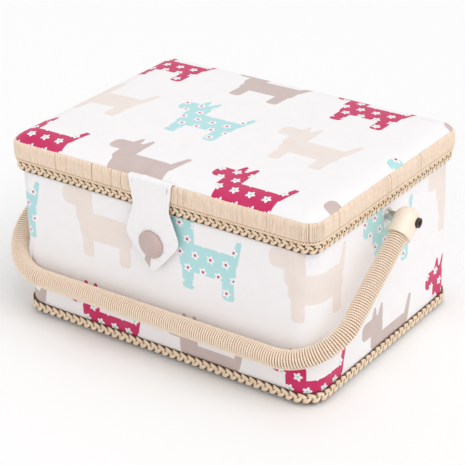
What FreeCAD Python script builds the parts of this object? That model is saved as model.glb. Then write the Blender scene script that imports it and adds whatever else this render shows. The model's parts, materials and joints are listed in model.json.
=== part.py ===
import FreeCAD, Part
import os
import Sketcher

# Fabric-covered sewing box with a padded hinged lid, a swinging bail handle, a buttoned flap
# and two lift-out trays.  Millimetres.  +X runs along the front, +Y points to the back, +Z up.
# The origin is on the floor, under the middle of the whole box with its handle resting in front.

doc = FreeCAD.newDocument("sewing_box")
dims = doc.addObject("Spreadsheet::Sheet", "dims")

SIZES = [
    ("box_len", 260, "length of the box body"),
    ("box_depth", 190, "depth of the box body"),
    ("body_high", 115, "underside of the base to the parting plane"),
    ("corner", 16, "radius of the upright corners"),
    ("lid_corner", 9, "radius of the lid's corners where they meet its rim"),
    ("foot_high", 3, "height of a foot below the base"),
    ("foot_rad", 9, "radius of a foot where it meets the base"),
    ("foot_flat", 6.5, "radius of a foot's flat bottom"),
    ("foot_sole", 1.2, "height of a foot's lower slope"),
    ("foot_bevel", 0.8, "how far a foot's upper slope leans in"),
    ("foot_inset", 12, "foot centre in from the body's sides"),
    ("nail_rad", 1.2, "radius of a foot's nail"),
    ("cover", 0.8, "thickness of fabric covers"),
    ("pad", 5, "thickness of the wadding on the walls"),
    ("board", 4, "thickness of the boards"),
    ("board_round", 2, "smallest rounding of the carcass corners"),
    ("lining", 0.8, "thickness of the linings"),
    ("base_braid_high", 7.5, "height of the braid at the base"),
    ("base_braid_proud", 2.5, "thickness of the braid at the base"),
    ("rim_high", 23.5, "parting plane to the top of the lid's rim"),
    ("rim_braid_high", 10.5, "height of the braid on the rim"),
    ("rim_braid_proud", 1.5, "thickness of the braid on the rim"),
    ("wrap_proud", 3.5, "thickness of the wrapped band on the rim"),
    ("lid_gap", 0.4, "gap between the closed lid and the box"),
    ("dome_high", 5.2, "rise of the lid's wadding"),
    ("dome_edge", 8.5, "width of the slope at the lid's edge"),
    ("dome_over", 1.4, "how far the lid's cover runs out over the rim"),
    ("tray_drop", 4, "top of a tray below the parting plane"),
    ("ledge_wide", 8, "width of a tray ledge"),
    ("ledge_high", 6, "height of a tray ledge"),
    ("tray_high", 34, "height of a tray"),
    ("tray_wall", 1.8, "thickness of a tray's walls and floor"),
    ("tray_round", 6, "corner radius of a tray"),
    ("tray_gap", 0.5, "gap round a tray"),
    ("tray_end_gap", 6.5, "gap between a tray and the end of the box"),
    ("tray_front_cell", 62, "depth of a tray's long front compartment"),
    ("pivot_drop", 8, "handle pivot below the parting plane"),
    ("leg_gap", 8, "side of the box to the nearest side of a handle leg"),
    ("rope_dia", 14, "diameter of the wrapped handle"),
    ("core_dia", 7, "diameter of the handle's core"),
    ("bend", 42, "radius of the handle's bends"),
    ("handle_gap", 2.8, "resting crossbar to the front of the box"),
    ("swing_gap", 16.3, "crossbar to the lid's edge as it swings over"),
    ("cap_wall", 2.25, "thickness of a wooden cap round the rope"),
    ("cap_len", 14, "pivot to the open end of a cap"),
    ("socket", 4, "depth of the rope's socket in a cap"),
    ("face_deep", 0.75, "depth of a cap's spot faces"),
    ("face_gap", 0.6, "gap round a bolt head in its spot face"),
    ("bolt_rad", 2, "radius of a pivot bolt"),
    ("head_rad", 3.6, "radius of a bolt head, a spacer and a nut"),
    ("head_high", 1.8, "height of a bolt head"),
    ("slot_long", 4.4, "length of each slot in a bolt head"),
    ("slot_wide", 1, "width of a slot in a bolt head"),
    ("slot_deep", 0.9, "depth of a slot in a bolt head"),
    ("run_gap", 0.1, "running clearance of the handle's pivots"),
    ("washer_rad", 5.2, "radius of a washer"),
    ("washer_high", 0.6, "thickness of a washer"),
    ("nut_high", 3.5, "height of a pivot nut"),
    ("bolt_past", 1, "how far a pivot bolt stands past its nut"),
    ("hinge_at", 70, "middle of the box to the middle of a hinge"),
    ("hinge_wide", 30, "width of a hinge"),
    ("knuckle_rad", 1.8, "radius of a hinge knuckle"),
    ("knuckle_mid", 11.4, "width of the lid's knuckle"),
    ("knuckle_gap", 0.3, "gap between knuckles"),
    ("hinge_drop", 2.2, "hinge axis below the parting plane"),
    ("leaf", 1, "thickness of a hinge leaf"),
    ("leaf_box_high", 12, "height of the box leaf"),
    ("pin_rad", 0.8, "radius of a hinge pin"),
    ("pin_gap", 0.05, "clearance round a hinge pin"),
    ("screw_rad", 1.2, "radius of a hinge screw"),
    ("screw_head", 2.2, "radius of a hinge screw's head"),
    ("screw_cap", 0.8, "height of a hinge screw's head"),
    ("screw_at", 10.5, "hinge screws from the middle of a hinge"),
    ("screw_box_up", 4, "lower edge of a box leaf up to its screws"),
    ("screw_lid_up", 5.6, "parting plane up to a lid leaf's screws"),
    ("screw_deep", 7, "length of a hinge screw below its head"),
    ("flap_gap", 0.4, "gap between the flap and the rim"),
    ("flap_thick", 2.4, "thickness of the flap"),
    ("flap_top", 18.8, "half width of the flap at its top"),
    ("flap_neck", 15.3, "half width of the flap at the parting plane"),
    ("flap_wide", 23.2, "half width of the flap at its widest"),
    ("flap_rise", 1, "flap's fold above the rim"),
    ("flap_neck_drop", 20.5, "fold to the flap's neck"),
    ("flap_wide_drop", 42.5, "fold to the flap's widest place"),
    ("flap_long", 69.5, "fold to the flap's tip"),
    ("flap_hem", 2, "width of the flap's sewn edge"),
    ("stiff", 0.8, "thickness of the flap's stiffener"),
    ("button_drop", 48, "fold to the button's centre"),
    ("button_rad", 10.5, "radius of the covered button"),
    ("button_high", 4.6, "height of the covered button"),
    ("button_shell", 0.8, "thickness of the button's metal shell"),
    ("magnet_rad", 6, "radius of the flap's magnet"),
    ("magnet_high", 1.5, "height of the flap's magnet"),
    ("catch_rad", 8, "radius of the catch plate"),
    ("catch_gap", 0.3, "gap between the magnet and the catch plate"),
    ("rivet_rad", 1.5, "radius of the catch plate's rivet"),
    ("cushion_len", 116, "length of the pincushion"),
    ("cushion_deep", 58, "depth of the pincushion"),
    ("cushion_high", 11, "height of the pincushion"),
    ("cushion_round", 10, "corner radius of the pincushion"),
    ("pocket_side", 19.4, "side of the lid's hollow to the lid pocket"),
    ("pocket_back", 10.4, "back of the lid's hollow to the lid pocket"),
    ("pocket_high", 5, "fullness of the lid pocket"),
    ("pocket_at", 6, "middle of the lid to the pocket's mouth"),
    ("pocket_round", 8, "corner radius of the lid pocket"),
    ("ribbon_wide", 5, "width of a stay ribbon"),
    ("ribbon_thick", 0.5, "thickness of a stay ribbon"),
    ("ribbon_off", 0.5, "gap between a stay ribbon and the lining"),
    ("stay_lid", 66.8, "hinge axis forward to a ribbon's end on the lid"),
    ("stay_box", 56.8, "hinge axis forward to a ribbon's end on the box"),
    ("stay_rise", 12.2, "hinge axis up to a ribbon's end on the lid"),
    ("stay_fall", 7.8, "hinge axis down to a ribbon's end on the box"),
    ("tack_rad", 2, "radius of a stud that holds a stay ribbon"),
    ("lid_open", 105, "how far the lid opens, in degrees"),
]
for row, (alias, amount, meaning) in enumerate(SIZES, start=1):
    dims.set("A%d" % row, meaning)
    dims.set("B%d" % row, str(amount))
    dims.setAlias("B%d" % row, alias)
doc.recompute()

# ---- formulas shared by several pieces ----------------------------------------------------
HALF_LEN = "dims.box_len / 2"
HALF_DEPTH = "dims.box_depth / 2"
BASE = "dims.foot_high"
PARTING = "(dims.foot_high + dims.body_high)"
WALL = "(dims.cover + dims.pad + dims.board)"
BOARD_IN = "(dims.cover + dims.pad)"
FLOOR = "(dims.foot_high + dims.cover + dims.board)"
ROOM_LEN = "(%s - %s - dims.lining)" % (HALF_LEN, WALL)
ROOM_DEPTH = "(%s - %s - dims.lining)" % (HALF_DEPTH, WALL)
LID_UNDER = "(%s + dims.lid_gap)" % PARTING
RAIL_LOW = "(%s + dims.lining)" % LID_UNDER
RIM_TOP = "(%s + dims.rim_high)" % PARTING
LID_BOARD_LOW = "(%s - dims.board)" % RIM_TOP
PIVOT = "(%s - dims.pivot_drop)" % PARTING
HINGE_Y = "(%s + dims.knuckle_rad)" % HALF_DEPTH
HINGE_Z = "(%s - dims.hinge_drop)" % PARTING
REACH = ("(hypot(%s + dims.wrap_proud; dims.pivot_drop + dims.rim_high) + dims.rope_dia / 2"
         " + dims.swing_gap)" % HALF_DEPTH)
CROSSBAR = "(%s + dims.handle_gap + dims.rope_dia / 2)" % HALF_DEPTH
TILT = "acos(%s / %s)" % (CROSSBAR, REACH)
HANDLE_HALF = "(%s + dims.leg_gap + dims.rope_dia / 2)" % HALF_LEN
CAP_RAD = "(dims.rope_dia / 2 + dims.cap_wall)"
TRAY_REST = "(%s - dims.tray_drop - dims.tray_high)" % PARTING
FLAP_Y = "(%s + dims.wrap_proud + dims.flap_gap)" % HALF_DEPTH
FLAP_Z = "(%s + dims.flap_rise)" % RIM_TOP
BUTTON_Z = "(%s - dims.button_drop)" % FLAP_Z
# The middle of the front-to-back extent, from the crossbar's front to the rim's back.
SHIFT = "((dims.handle_gap + dims.rope_dia - dims.wrap_proud) / 2)"

nodes = []
y_formulas = {}


def value(formula):
    """The number that a formula stands for."""
    found = dims.evalExpression(formula)
    return float(getattr(found, "Value", found))


def place(thing, x="0", y="0", z="0"):
    """Bind an object's position to three formulas."""
    for axis, formula in zip("xyz", (x, y, z)):
        thing.setExpression("Placement.Base." + axis, formula)
    y_formulas[thing.Name] = y
    return thing


def turn(thing, axis, angle):
    """Turn an object about an axis through its own origin by a formula in degrees."""
    start = FreeCAD.Rotation(FreeCAD.Vector(*axis), value(angle))
    thing.Placement = FreeCAD.Placement(thing.Placement.Base, start)
    thing.setExpression("Placement.Rotation.Angle", angle)
    return thing


def node(thing, label):
    """Make an object one of the box's sub-parts, moved with all the others."""
    thing.Label = label
    y = y_formulas.get(thing.Name, "0")
    thing.setExpression("Placement.Base.y", "%s + %s" % (y, SHIFT))
    nodes.append(thing)
    return thing


def block(name, low, size):
    """A cuboid from its lowest corner and its three sizes."""
    box = doc.addObject("Part::Box", name)
    for side, formula in zip(("Length", "Width", "Height"), size):
        box.setExpression(side, formula)
    return place(box, *low)


def rod(name, radius, length, start, along="z"):
    """A round bar from a start point, along +X, -Y, +Y or +Z."""
    bar = doc.addObject("Part::Cylinder", name)
    bar.setExpression("Radius", radius)
    bar.setExpression("Height", length)
    turns = {"x": ((0, 1, 0), "90"), "-y": ((1, 0, 0), "90"), "y": ((-1, 0, 0), "90")}
    if along in turns:
        turn(bar, *turns[along])
    return place(bar, *start)


def fuse(name, pieces):
    """Several objects as one solid."""
    whole = doc.addObject("Part::MultiFuse", name)
    whole.Shapes = pieces
    whole.Refine = True
    return whole


def group(name, pieces):
    """Several separate solids kept together."""
    held = doc.addObject("Part::Compound", name)
    held.Links = pieces
    return held


def cut(name, base, tools):
    """An object with one or more others taken out of it."""
    left = doc.addObject("Part::Cut", name)
    left.Base = base
    left.Tool = tools[0] if len(tools) == 1 else group(name + "_tools", tools)
    left.Refine = True
    return left


def common(name, one, other):
    """What two objects share."""
    shared = doc.addObject("Part::Common", name)
    shared.Base = one
    shared.Tool = other
    shared.Refine = True
    return shared


def plane(body, role):
    """One of a body's own origin planes."""
    return next(item for item in body.Origin.OriginFeatures if item.Role == role)


def new_sketch(body, name, role="XY_Plane", lift="0"):
    """A sketch on an origin plane, lifted along the plane's normal."""
    sketch = body.newObject("Sketcher::SketchObject", name)
    sketch.AttachmentSupport = (plane(body, role), [""])
    sketch.MapMode = "FlatFace"
    if lift != "0":
        sketch.setExpression("AttachmentOffset.Base.z", lift)
    return sketch


def bind(sketch, constraint, formula):
    """Add a constraint whose size is a formula."""
    index = sketch.addConstraint(constraint)
    sketch.setExpression("Constraints[%d]" % index, formula)


def outline(sketch, half_x, half_y, radius):
    """A rectangle with round corners about the sketch's origin."""
    hx, hy, r = value(half_x), value(half_y), value(radius)
    vec, turn_90 = FreeCAD.Vector, FreeCAD.Units.Quantity("90 deg").getValueAs("rad").Value
    up = vec(0, 0, 1)
    corners = [(hx - r, -hy + r, 3), (hx - r, hy - r, 0), (-hx + r, hy - r, 1), (-hx + r, -hy + r, 2)]
    sides = [(vec(-hx + r, -hy), vec(hx - r, -hy)), (vec(hx, -hy + r), vec(hx, hy - r)),
             (vec(hx - r, hy), vec(-hx + r, hy)), (vec(-hx, hy - r), vec(-hx, -hy + r))]
    lines, arcs = [], []
    for (start, end), (cx, cy, quarter) in zip(sides, corners):
        lines.append(sketch.addGeometry(Part.LineSegment(start, end)))
        circle = Part.Circle(vec(cx, cy), up, r)
        arcs.append(sketch.addGeometry(
            Part.ArcOfCircle(circle, quarter * turn_90, (quarter + 1) * turn_90)))
    for this in range(4):
        sketch.addConstraint(Sketcher.Constraint("Tangent", lines[this], 2, arcs[this], 1))
        sketch.addConstraint(Sketcher.Constraint("Tangent", arcs[this], 2, lines[(this + 1) % 4], 1))
        kind = "Vertical" if this % 2 else "Horizontal"
        sketch.addConstraint(Sketcher.Constraint(kind, lines[this]))
        if this:
            sketch.addConstraint(Sketcher.Constraint("Equal", arcs[0], arcs[this]))
    bind(sketch, Sketcher.Constraint("Radius", arcs[0], r), radius)
    bind(sketch, Sketcher.Constraint("DistanceY", lines[0], 1, -1, 1, hy), half_y)
    bind(sketch, Sketcher.Constraint("DistanceY", -1, 1, lines[2], 1, hy), half_y)
    bind(sketch, Sketcher.Constraint("DistanceX", -1, 1, lines[1], 1, hx), half_x)
    bind(sketch, Sketcher.Constraint("DistanceX", lines[3], 1, -1, 1, hx), half_x)


def grow(amount, base_round="dims.corner"):
    """The body's outline made larger, or smaller, by a formula."""
    return ("%s + (%s)" % (HALF_LEN, amount), "%s + (%s)" % (HALF_DEPTH, amount),
            "%s + (%s)" % (base_round, amount))


def lid_grow(amount):
    """The lid's outline, whose corners are sharper than the body's, made larger by a formula."""
    return grow(amount, "dims.lid_corner")


def prism(name, outer, height, hole=None, at=("0", "0", "0")):
    """An upright solid from a rounded outline, with another outline as its hole."""
    body = doc.addObject("PartDesign::Body", name)
    sketch = new_sketch(body, name + "_outline")
    outline(sketch, *outer)
    if hole:
        outline(sketch, *hole)
    doc.recompute()
    pad = body.newObject("PartDesign::Pad", name + "_pad")
    pad.Profile = sketch
    pad.setExpression("Length", height)
    return place(body, *at)


def dome(name, low_outline, high_outline, height, z):
    """A low crowned form between two rounded outlines."""
    body = doc.addObject("PartDesign::Body", name)
    low = new_sketch(body, name + "_low")
    outline(low, *low_outline)
    high = new_sketch(body, name + "_high", lift=height)
    outline(high, *high_outline)
    doc.recompute()
    loft = body.newObject("PartDesign::AdditiveLoft", name + "_loft")
    loft.Profile = low
    loft.Sections = [high]
    loft.Ruled = True
    return place(body, z=z)


def outline_points(sketch, points):
    """Straight edges through points given as pairs of formulas, each bound to the origin."""
    spots = [FreeCAD.Vector(value(x), value(y), 0) for x, y in points]
    count = len(points)
    edges = []
    for this in range(count):
        edges.append(sketch.addGeometry(Part.LineSegment(spots[this], spots[(this + 1) % count])))
    for this in range(count):
        sketch.addConstraint(Sketcher.Constraint("Coincident", edges[this], 2,
                                                 edges[(this + 1) % count], 1))
        for kind, formula, amount in (("DistanceX", points[this][0], spots[this].x),
                                      ("DistanceY", points[this][1], spots[this].y)):
            bind(sketch, Sketcher.Constraint(kind, -1, 1, edges[this], 1, amount), formula)


# ---- box: base, boards, wadding and covers --------------------------------------------------
WALL_HIGH = "(%s - dims.cover - %s)" % (PARTING, FLOOR)
CARCASS_ROUND = ("max(dims.board_round; (sqrt(2) * (dims.corner - %s)"
                 " - (dims.corner - dims.cover - 1)) / (sqrt(2) - 1))" % BOARD_IN)
ROOM_OUTLINE = ("%s - %s" % (HALF_LEN, WALL), "%s - %s" % (HALF_DEPTH, WALL), "dims.board_round")
INNER_OUTLINE = (ROOM_LEN, ROOM_DEPTH, "dims.board_round - dims.lining")

FEET = {"front_left": (-1, -1), "front_right": (1, -1), "back_left": (-1, 1), "back_right": (1, 1)}


def foot_spot(sign_x, sign_y):
    """Where a foot stands, as formulas."""
    return ("%d * (%s - dims.foot_inset)" % (sign_x, HALF_LEN),
            "%d * (%s - dims.foot_inset)" % (sign_y, HALF_DEPTH))


def nail(name, spot):
    """A foot's nail, or the hole that it fills."""
    return rod(name, "dims.nail_rad", "dims.cover + dims.board", spot + (BASE,))


def make_base():
    """The bottom cloth and board, with a hole for each foot's nail."""
    for label, thick, z in (("base_cloth", "dims.cover", BASE),
                            ("base_board", "dims.board", BASE + " + dims.cover")):
        sheet = prism(label + "_sheet", grow("-dims.cover"), thick, at=("0", "0", z))
        holes = [nail(label + "_hole_" + where, foot_spot(*signs)) for where, signs in FEET.items()]
        node(cut(label + "_cut", sheet, holes), label)
    for where, signs in FEET.items():
        spot = foot_spot(*signs)
        rim = doc.addObject("Part::Cone", "foot_rim_" + where)
        sole = doc.addObject("Part::Cone", "foot_sole_" + where)
        for piece, low, high, start, tall in (
                (sole, "dims.foot_flat", "dims.foot_rad - dims.foot_bevel", "0", "dims.foot_sole"),
                (rim, "dims.foot_rad - dims.foot_bevel", "dims.foot_rad", "dims.foot_sole",
                 "dims.foot_high - dims.foot_sole")):
            piece.setExpression("Radius1", low)
            piece.setExpression("Radius2", high)
            piece.setExpression("Height", tall)
            place(piece, *spot, start)
        node(fuse("foot_form_" + where, [sole, rim, nail("foot_nail_" + where, spot)]), "foot_" + where)


def walls(kind, form, inset, thick, z, high, side_names):
    """Four walls cut to a rounded form: the front and back run past the two sides."""
    made = {}
    out_len, out_deep = "(%s - %s)" % (HALF_LEN, inset), "(%s - %s)" % (HALF_DEPTH, inset)
    mid_deep = "(%s - %s)" % (out_deep, thick)
    long_size = ("2 * " + out_len, thick, high)
    side_size = (thick, "2 * " + mid_deep, high)
    spots = {"front": (("-" + out_len, "-" + out_deep, z), long_size),
             "back": (("-" + out_len, mid_deep, z), long_size),
             "left": (("-" + out_len, "-" + mid_deep, z), side_size),
             "right": ((out_len + " - " + thick, "-" + mid_deep, z), side_size)}
    for side, (low, size) in spots.items():
        blank = block("%s_%s_blank" % (kind, side), low, size)
        made[side] = common("%s_%s_form" % (kind, side), blank, form)
    return {side_names[side]: piece for side, piece in made.items()}


def named(pattern):
    """The four names of a set of walls."""
    return {side: pattern % side for side in ("front", "back", "left", "right")}


def pivot_hole(name):
    """The bore right through the box at the handle's pivots."""
    return rod(name, "dims.bolt_rad + dims.run_gap", "dims.box_len + 2",
               ("-%s - 1" % HALF_LEN, "0", PIVOT), "x")


def rivet(name):
    """The catch plate's rivet, or the hole that it fills."""
    return rod(name, "dims.rivet_rad", "%s + 2" % BOARD_IN, ("0", "-" + HALF_DEPTH, BUTTON_Z), "y")


HINGES = {"left": -1, "right": 1}
SCREW_ROWS = {"box": "%s - dims.leaf_box_high + dims.screw_box_up" % HINGE_Z,
              "lid": PARTING + " + dims.screw_lid_up"}


def hinge_screws(name, row, radius, length, start, along):
    """Two round bars for each hinge, at the places of its screws."""
    bars = []
    for side, sign in HINGES.items():
        for which, step in (("a", "-"), ("b", "+")):
            x = "%d * dims.hinge_at %s dims.screw_at" % (sign, step)
            bars.append(rod("%s_%s_%s" % (name, side, which), radius, length,
                            (x, start, SCREW_ROWS[row]), along))
    return bars


def screw_shanks(name, row):
    """The shanks of a row of hinge screws, or the holes that they fill."""
    return hinge_screws(name, row, "dims.screw_rad", "dims.leaf + dims.screw_deep",
                        "%s + dims.leaf" % HALF_DEPTH, "-y")


def make_walls():
    """Boards and wadding round the box, with the holes for what passes through them."""
    skin_form = prism("skin_form", grow("-dims.cover"), "dims.body_high", at=("0", "0", BASE))
    board_form = prism("board_form", grow("-" + BOARD_IN, "dims.corner")[:2] + (CARCASS_ROUND,),
                       "dims.body_high", at=("0", "0", BASE))
    pieces = walls("board", board_form, BOARD_IN, "dims.board", FLOOR, WALL_HIGH, named("%s_board"))
    pieces.update(walls("pad", skin_form, "dims.cover", "dims.pad", FLOOR, WALL_HIGH,
                        named("%s_pad")))
    for label, piece in pieces.items():
        if label.startswith("front"):
            holes = [rivet(label + "_rivet")]
        elif label.startswith("back"):
            holes = screw_shanks(label + "_screw", "box")
        else:
            holes = [pivot_hole(label + "_bore")]
        node(cut(label + "_cut", piece, holes), label)


def make_box_cover():
    """The fabric round the walls, turned over their top edge, and the cloth inside."""
    side = prism("cover_side", grow("0"), "dims.body_high - dims.cover", grow("-dims.cover"),
                 ("0", "0", BASE))
    lip = prism("cover_lip", grow("0"), "dims.cover", ROOM_OUTLINE,
                ("0", "0", PARTING + " - dims.cover"))
    holes = [pivot_hole("cover_bore"), rivet("cover_rivet")] + screw_shanks("cover_screw", "box")
    node(cut("body_cover_cut", fuse("body_cover_form", [side, lip]), holes), "body_cover")
    outside = prism("lining_out", ROOM_OUTLINE, "%s - %s" % (PARTING, FLOOR), at=("0", "0", FLOOR))
    inside = prism("lining_in", INNER_OUTLINE, "%s - %s" % (PARTING, FLOOR),
                   at=("0", "0", FLOOR + " + dims.lining"))
    node(cut("box_lining_cut", outside, [inside, pivot_hole("lining_bore")]), "box_lining")


def make_base_braid():
    """The plaited braid round the foot of the box."""
    node(prism("base_braid_ring", grow("dims.base_braid_proud"), "dims.base_braid_high", grow("0"),
               ("0", "0", BASE)), "base_braid")


def make_ledges():
    """Battens along the front and back that the trays rest on."""
    half = "(%s - dims.board_round)" % ROOM_LEN
    size = ("2 * " + half, "dims.ledge_wide", "dims.ledge_high")
    z = TRAY_REST + " - dims.ledge_high"
    node(block("front_ledge_bar", ("-" + half, "-" + ROOM_DEPTH, z), size), "front_ledge")
    node(block("back_ledge_bar", ("-" + half, ROOM_DEPTH + " - dims.ledge_wide", z), size),
         "back_ledge")


# ---- catch, handle pivots and hinges ---------------------------------------------------------
def make_catch():
    """The steel plate on the front that the flap's magnet closes on."""
    proud = "dims.wrap_proud + dims.flap_gap - dims.magnet_high - dims.catch_gap"
    plate = rod("catch_disc", "dims.catch_rad", proud, ("0", "-" + HALF_DEPTH, BUTTON_Z), "-y")
    node(fuse("catch_form", [plate, rivet("catch_shank")]), "catch_plate")


HEAD_X = "(%s + %s - dims.face_deep + dims.run_gap)" % (HANDLE_HALF, CAP_RAD)
BOLT_END = "(%s - dims.washer_high - dims.nut_high - dims.bolt_past)" % ROOM_LEN
SPACER_END = "(%s - %s + dims.face_deep - dims.run_gap)" % (HANDLE_HALF, CAP_RAD)


def across(name, sign, radius, near, far):
    """A round bar on the pivot line from one distance out to another, on one side."""
    start = near if sign > 0 else "-(%s)" % far
    return rod(name, radius, "(%s) - (%s)" % (far, near), (start, "0", PIVOT), "x")


def make_pivots():
    """On each side a bolt through the wall, with its spacer, washers and nut."""
    bolts, spacers, washers, nuts = [], [], [], []
    for side, sign in HINGES.items():
        shank = across("bolt_shank_" + side, sign, "dims.bolt_rad", BOLT_END, HEAD_X)
        head = across("bolt_head_" + side, sign, "dims.head_rad", HEAD_X, HEAD_X + " + dims.head_high")
        slot_x = (HEAD_X + " + dims.head_high - dims.slot_deep" if sign > 0
                  else "-(%s + dims.head_high)" % HEAD_X)
        slots = [block("bolt_slot_%s_%s" % (side, way),
                       (slot_x, "-%s / 2" % wide, "%s - %s / 2" % (PIVOT, tall)),
                       ("dims.slot_deep", wide, tall))
                 for way, wide, tall in (("flat", "dims.slot_long", "dims.slot_wide"),
                                         ("tall", "dims.slot_wide", "dims.slot_long"))]
        bolts.append(cut("bolt_" + side, fuse("bolt_form_" + side, [shank, head]), slots))
        gaps = (("outer", HALF_LEN, HALF_LEN + " + dims.washer_high"),
                ("inner", ROOM_LEN + " - dims.washer_high", ROOM_LEN))
        for where, near, far in gaps:
            disc = across("washer_disc_%s_%s" % (where, side), sign, "dims.washer_rad", near, far)
            bore = across("washer_bore_%s_%s" % (where, side), sign, "dims.bolt_rad", near, far)
            washers.append(cut("washer_%s_%s" % (where, side), disc, [bore]))
        near = HALF_LEN + " + dims.washer_high"
        tube = across("spacer_tube_" + side, sign, "dims.head_rad", near, SPACER_END)
        bore = across("spacer_bore_" + side, sign, "dims.bolt_rad", near, SPACER_END)
        spacers.append(cut("spacer_" + side, tube, [bore]))
        near, far = ROOM_LEN + " - dims.washer_high - dims.nut_high", ROOM_LEN + " - dims.washer_high"
        hexagon = doc.addObject("Part::Prism", "nut_hexagon_" + side)
        hexagon.Polygon = 6
        hexagon.setExpression("Circumradius", "dims.head_rad")
        hexagon.setExpression("Height", "dims.nut_high")
        turn(hexagon, (0, 1, 0), "90")
        place(hexagon, near if sign > 0 else "-(%s)" % far, "0", PIVOT)
        thread = across("nut_thread_" + side, sign, "dims.bolt_rad", near, far)
        nuts.append(cut("nut_" + side, hexagon, [thread]))
    for label, pieces in (("pivot_bolts", bolts), ("pivot_spacers", spacers),
                          ("pivot_washers", washers), ("pivot_nuts", nuts)):
        node(group(label + "_set", pieces), label)


def along_hinge(name, side, radius, near, length):
    """A round bar on the hinge's axis, from a distance left of the hinge's middle."""
    x = "%d * dims.hinge_at - (%s)" % (HINGES[side], near)
    return rod("%s_%s" % (name, side), radius, length, (x, HINGE_Y, HINGE_Z), "x")


def make_hinges():
    """Two brass butt hinges across the parting line at the back, with their screws."""
    half = "dims.hinge_wide / 2"
    bore_rad = "dims.pin_rad + dims.pin_gap"
    outer = "dims.hinge_wide / 2 - dims.knuckle_mid / 2 - dims.knuckle_gap"
    for side, sign in HINGES.items():
        x_low = "%d * dims.hinge_at - %s" % (sign, half)
        plate = block("box_plate_" + side, (x_low, HALF_DEPTH, HINGE_Z + " - dims.leaf_box_high"),
                      ("dims.hinge_wide", "dims.leaf", "dims.leaf_box_high"))
        knuckles = [along_hinge("box_knuckle_a", side, "dims.knuckle_rad", half, outer),
                    along_hinge("box_knuckle_b", side, "dims.knuckle_rad",
                                "-dims.knuckle_mid / 2 - dims.knuckle_gap", outer)]
        gap = block("box_gap_" + side, (
            "%d * dims.hinge_at - dims.knuckle_mid / 2 - dims.knuckle_gap" % sign,
            HALF_DEPTH + " - 1", HINGE_Z + " - dims.knuckle_rad - dims.knuckle_gap"),
            ("dims.knuckle_mid + 2 * dims.knuckle_gap", "2 * dims.knuckle_rad + 2",
             "2 * dims.knuckle_rad + 2 * dims.knuckle_gap"))
        holes = hinge_screws("leaf_box_hole_" + side, "box", "dims.screw_rad",
                             "dims.leaf + dims.screw_deep", "%s + dims.leaf" % HALF_DEPTH, "-y")
        bore = along_hinge("box_bore", side, bore_rad, half, "dims.hinge_wide")
        form = fuse("box_leaf_form_" + side, [plate] + knuckles)
        node(cut("box_leaf_cut_" + side, form, [gap, bore] + holes), "hinge_box_leaf_" + side)
        node(along_hinge("pin", side, "dims.pin_rad", half, "dims.hinge_wide"), "hinge_pin_" + side)
        low_z = PARTING + " + dims.knuckle_gap"
        upper = block("lid_plate_" + side, (x_low, HALF_DEPTH, low_z),
                      ("dims.hinge_wide", "dims.leaf", "dims.rim_braid_high - dims.knuckle_gap"))
        mid_x = "%d * dims.hinge_at - dims.knuckle_mid / 2" % sign
        neck = block("lid_neck_" + side, (mid_x, HALF_DEPTH + " + dims.knuckle_gap", HINGE_Z),
                     ("dims.knuckle_mid", "dims.leaf", "dims.hinge_drop + dims.knuckle_gap + 1"))
        middle = along_hinge("lid_knuckle", side, "dims.knuckle_rad", "dims.knuckle_mid / 2",
                             "dims.knuckle_mid")
        form = fuse("lid_leaf_form_" + side, [upper, neck, middle])
        bore = along_hinge("lid_bore", side, bore_rad, half, "dims.hinge_wide")
        holes = hinge_screws("leaf_lid_hole_" + side, "lid", "dims.screw_rad",
                             "dims.leaf + dims.screw_deep", "%s + dims.leaf" % HALF_DEPTH, "-y")
        node(cut("lid_leaf_cut_" + side, form, [bore] + holes), "hinge_lid_leaf_" + side)
    for row in ("box", "lid"):
        heads = hinge_screws("head_" + row, row, "dims.screw_head", "dims.screw_cap",
                             "%s + dims.leaf" % HALF_DEPTH, "y")
        screws = [fuse("screw_%s_%d" % (row, which), list(pair))
                  for which, pair in enumerate(zip(screw_shanks("shank_" + row, row), heads))]
        node(group("hinge_screws_%s_set" % row, screws), "hinge_screws_" + row)


# ---- lid ------------------------------------------------------------------------------------
def make_lid_frame():
    """The lid's top board and its four rails."""
    form = prism("lid_form", grow("0"), "dims.rim_high", at=("0", "0", PARTING))
    rails = walls("rail", form, "0", WALL, RAIL_LOW, "%s - %s" % (LID_BOARD_LOW, RAIL_LOW),
                  named("lid_rail_%s"))
    for label, piece in rails.items():
        if label.endswith("back"):
            piece = cut(label + "_cut", piece, screw_shanks(label + "_screw", "lid"))
        node(piece, label)
    node(prism("lid_board_sheet", grow("0"), "dims.board", at=("0", "0", LID_BOARD_LOW)),
         "lid_board")


def make_lid_cover():
    """The lid's domed wadding and the fabric drawn over it."""
    under = "dims.dome_over - dims.cover"
    pad = dome("lid_pad_dome", lid_grow(under), lid_grow(under + " - dims.dome_edge"),
               "dims.dome_high", RIM_TOP)
    over = dome("lid_cover_out", lid_grow("dims.dome_over"),
                lid_grow("dims.dome_over - dims.dome_edge"), "dims.dome_high + dims.cover", RIM_TOP)
    hollow = dome("lid_cover_in", lid_grow(under), lid_grow(under + " - dims.dome_edge"),
                  "dims.dome_high", RIM_TOP)
    node(pad, "lid_pad")
    node(cut("lid_cover_cut", over, [hollow]), "lid_cover")


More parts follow.
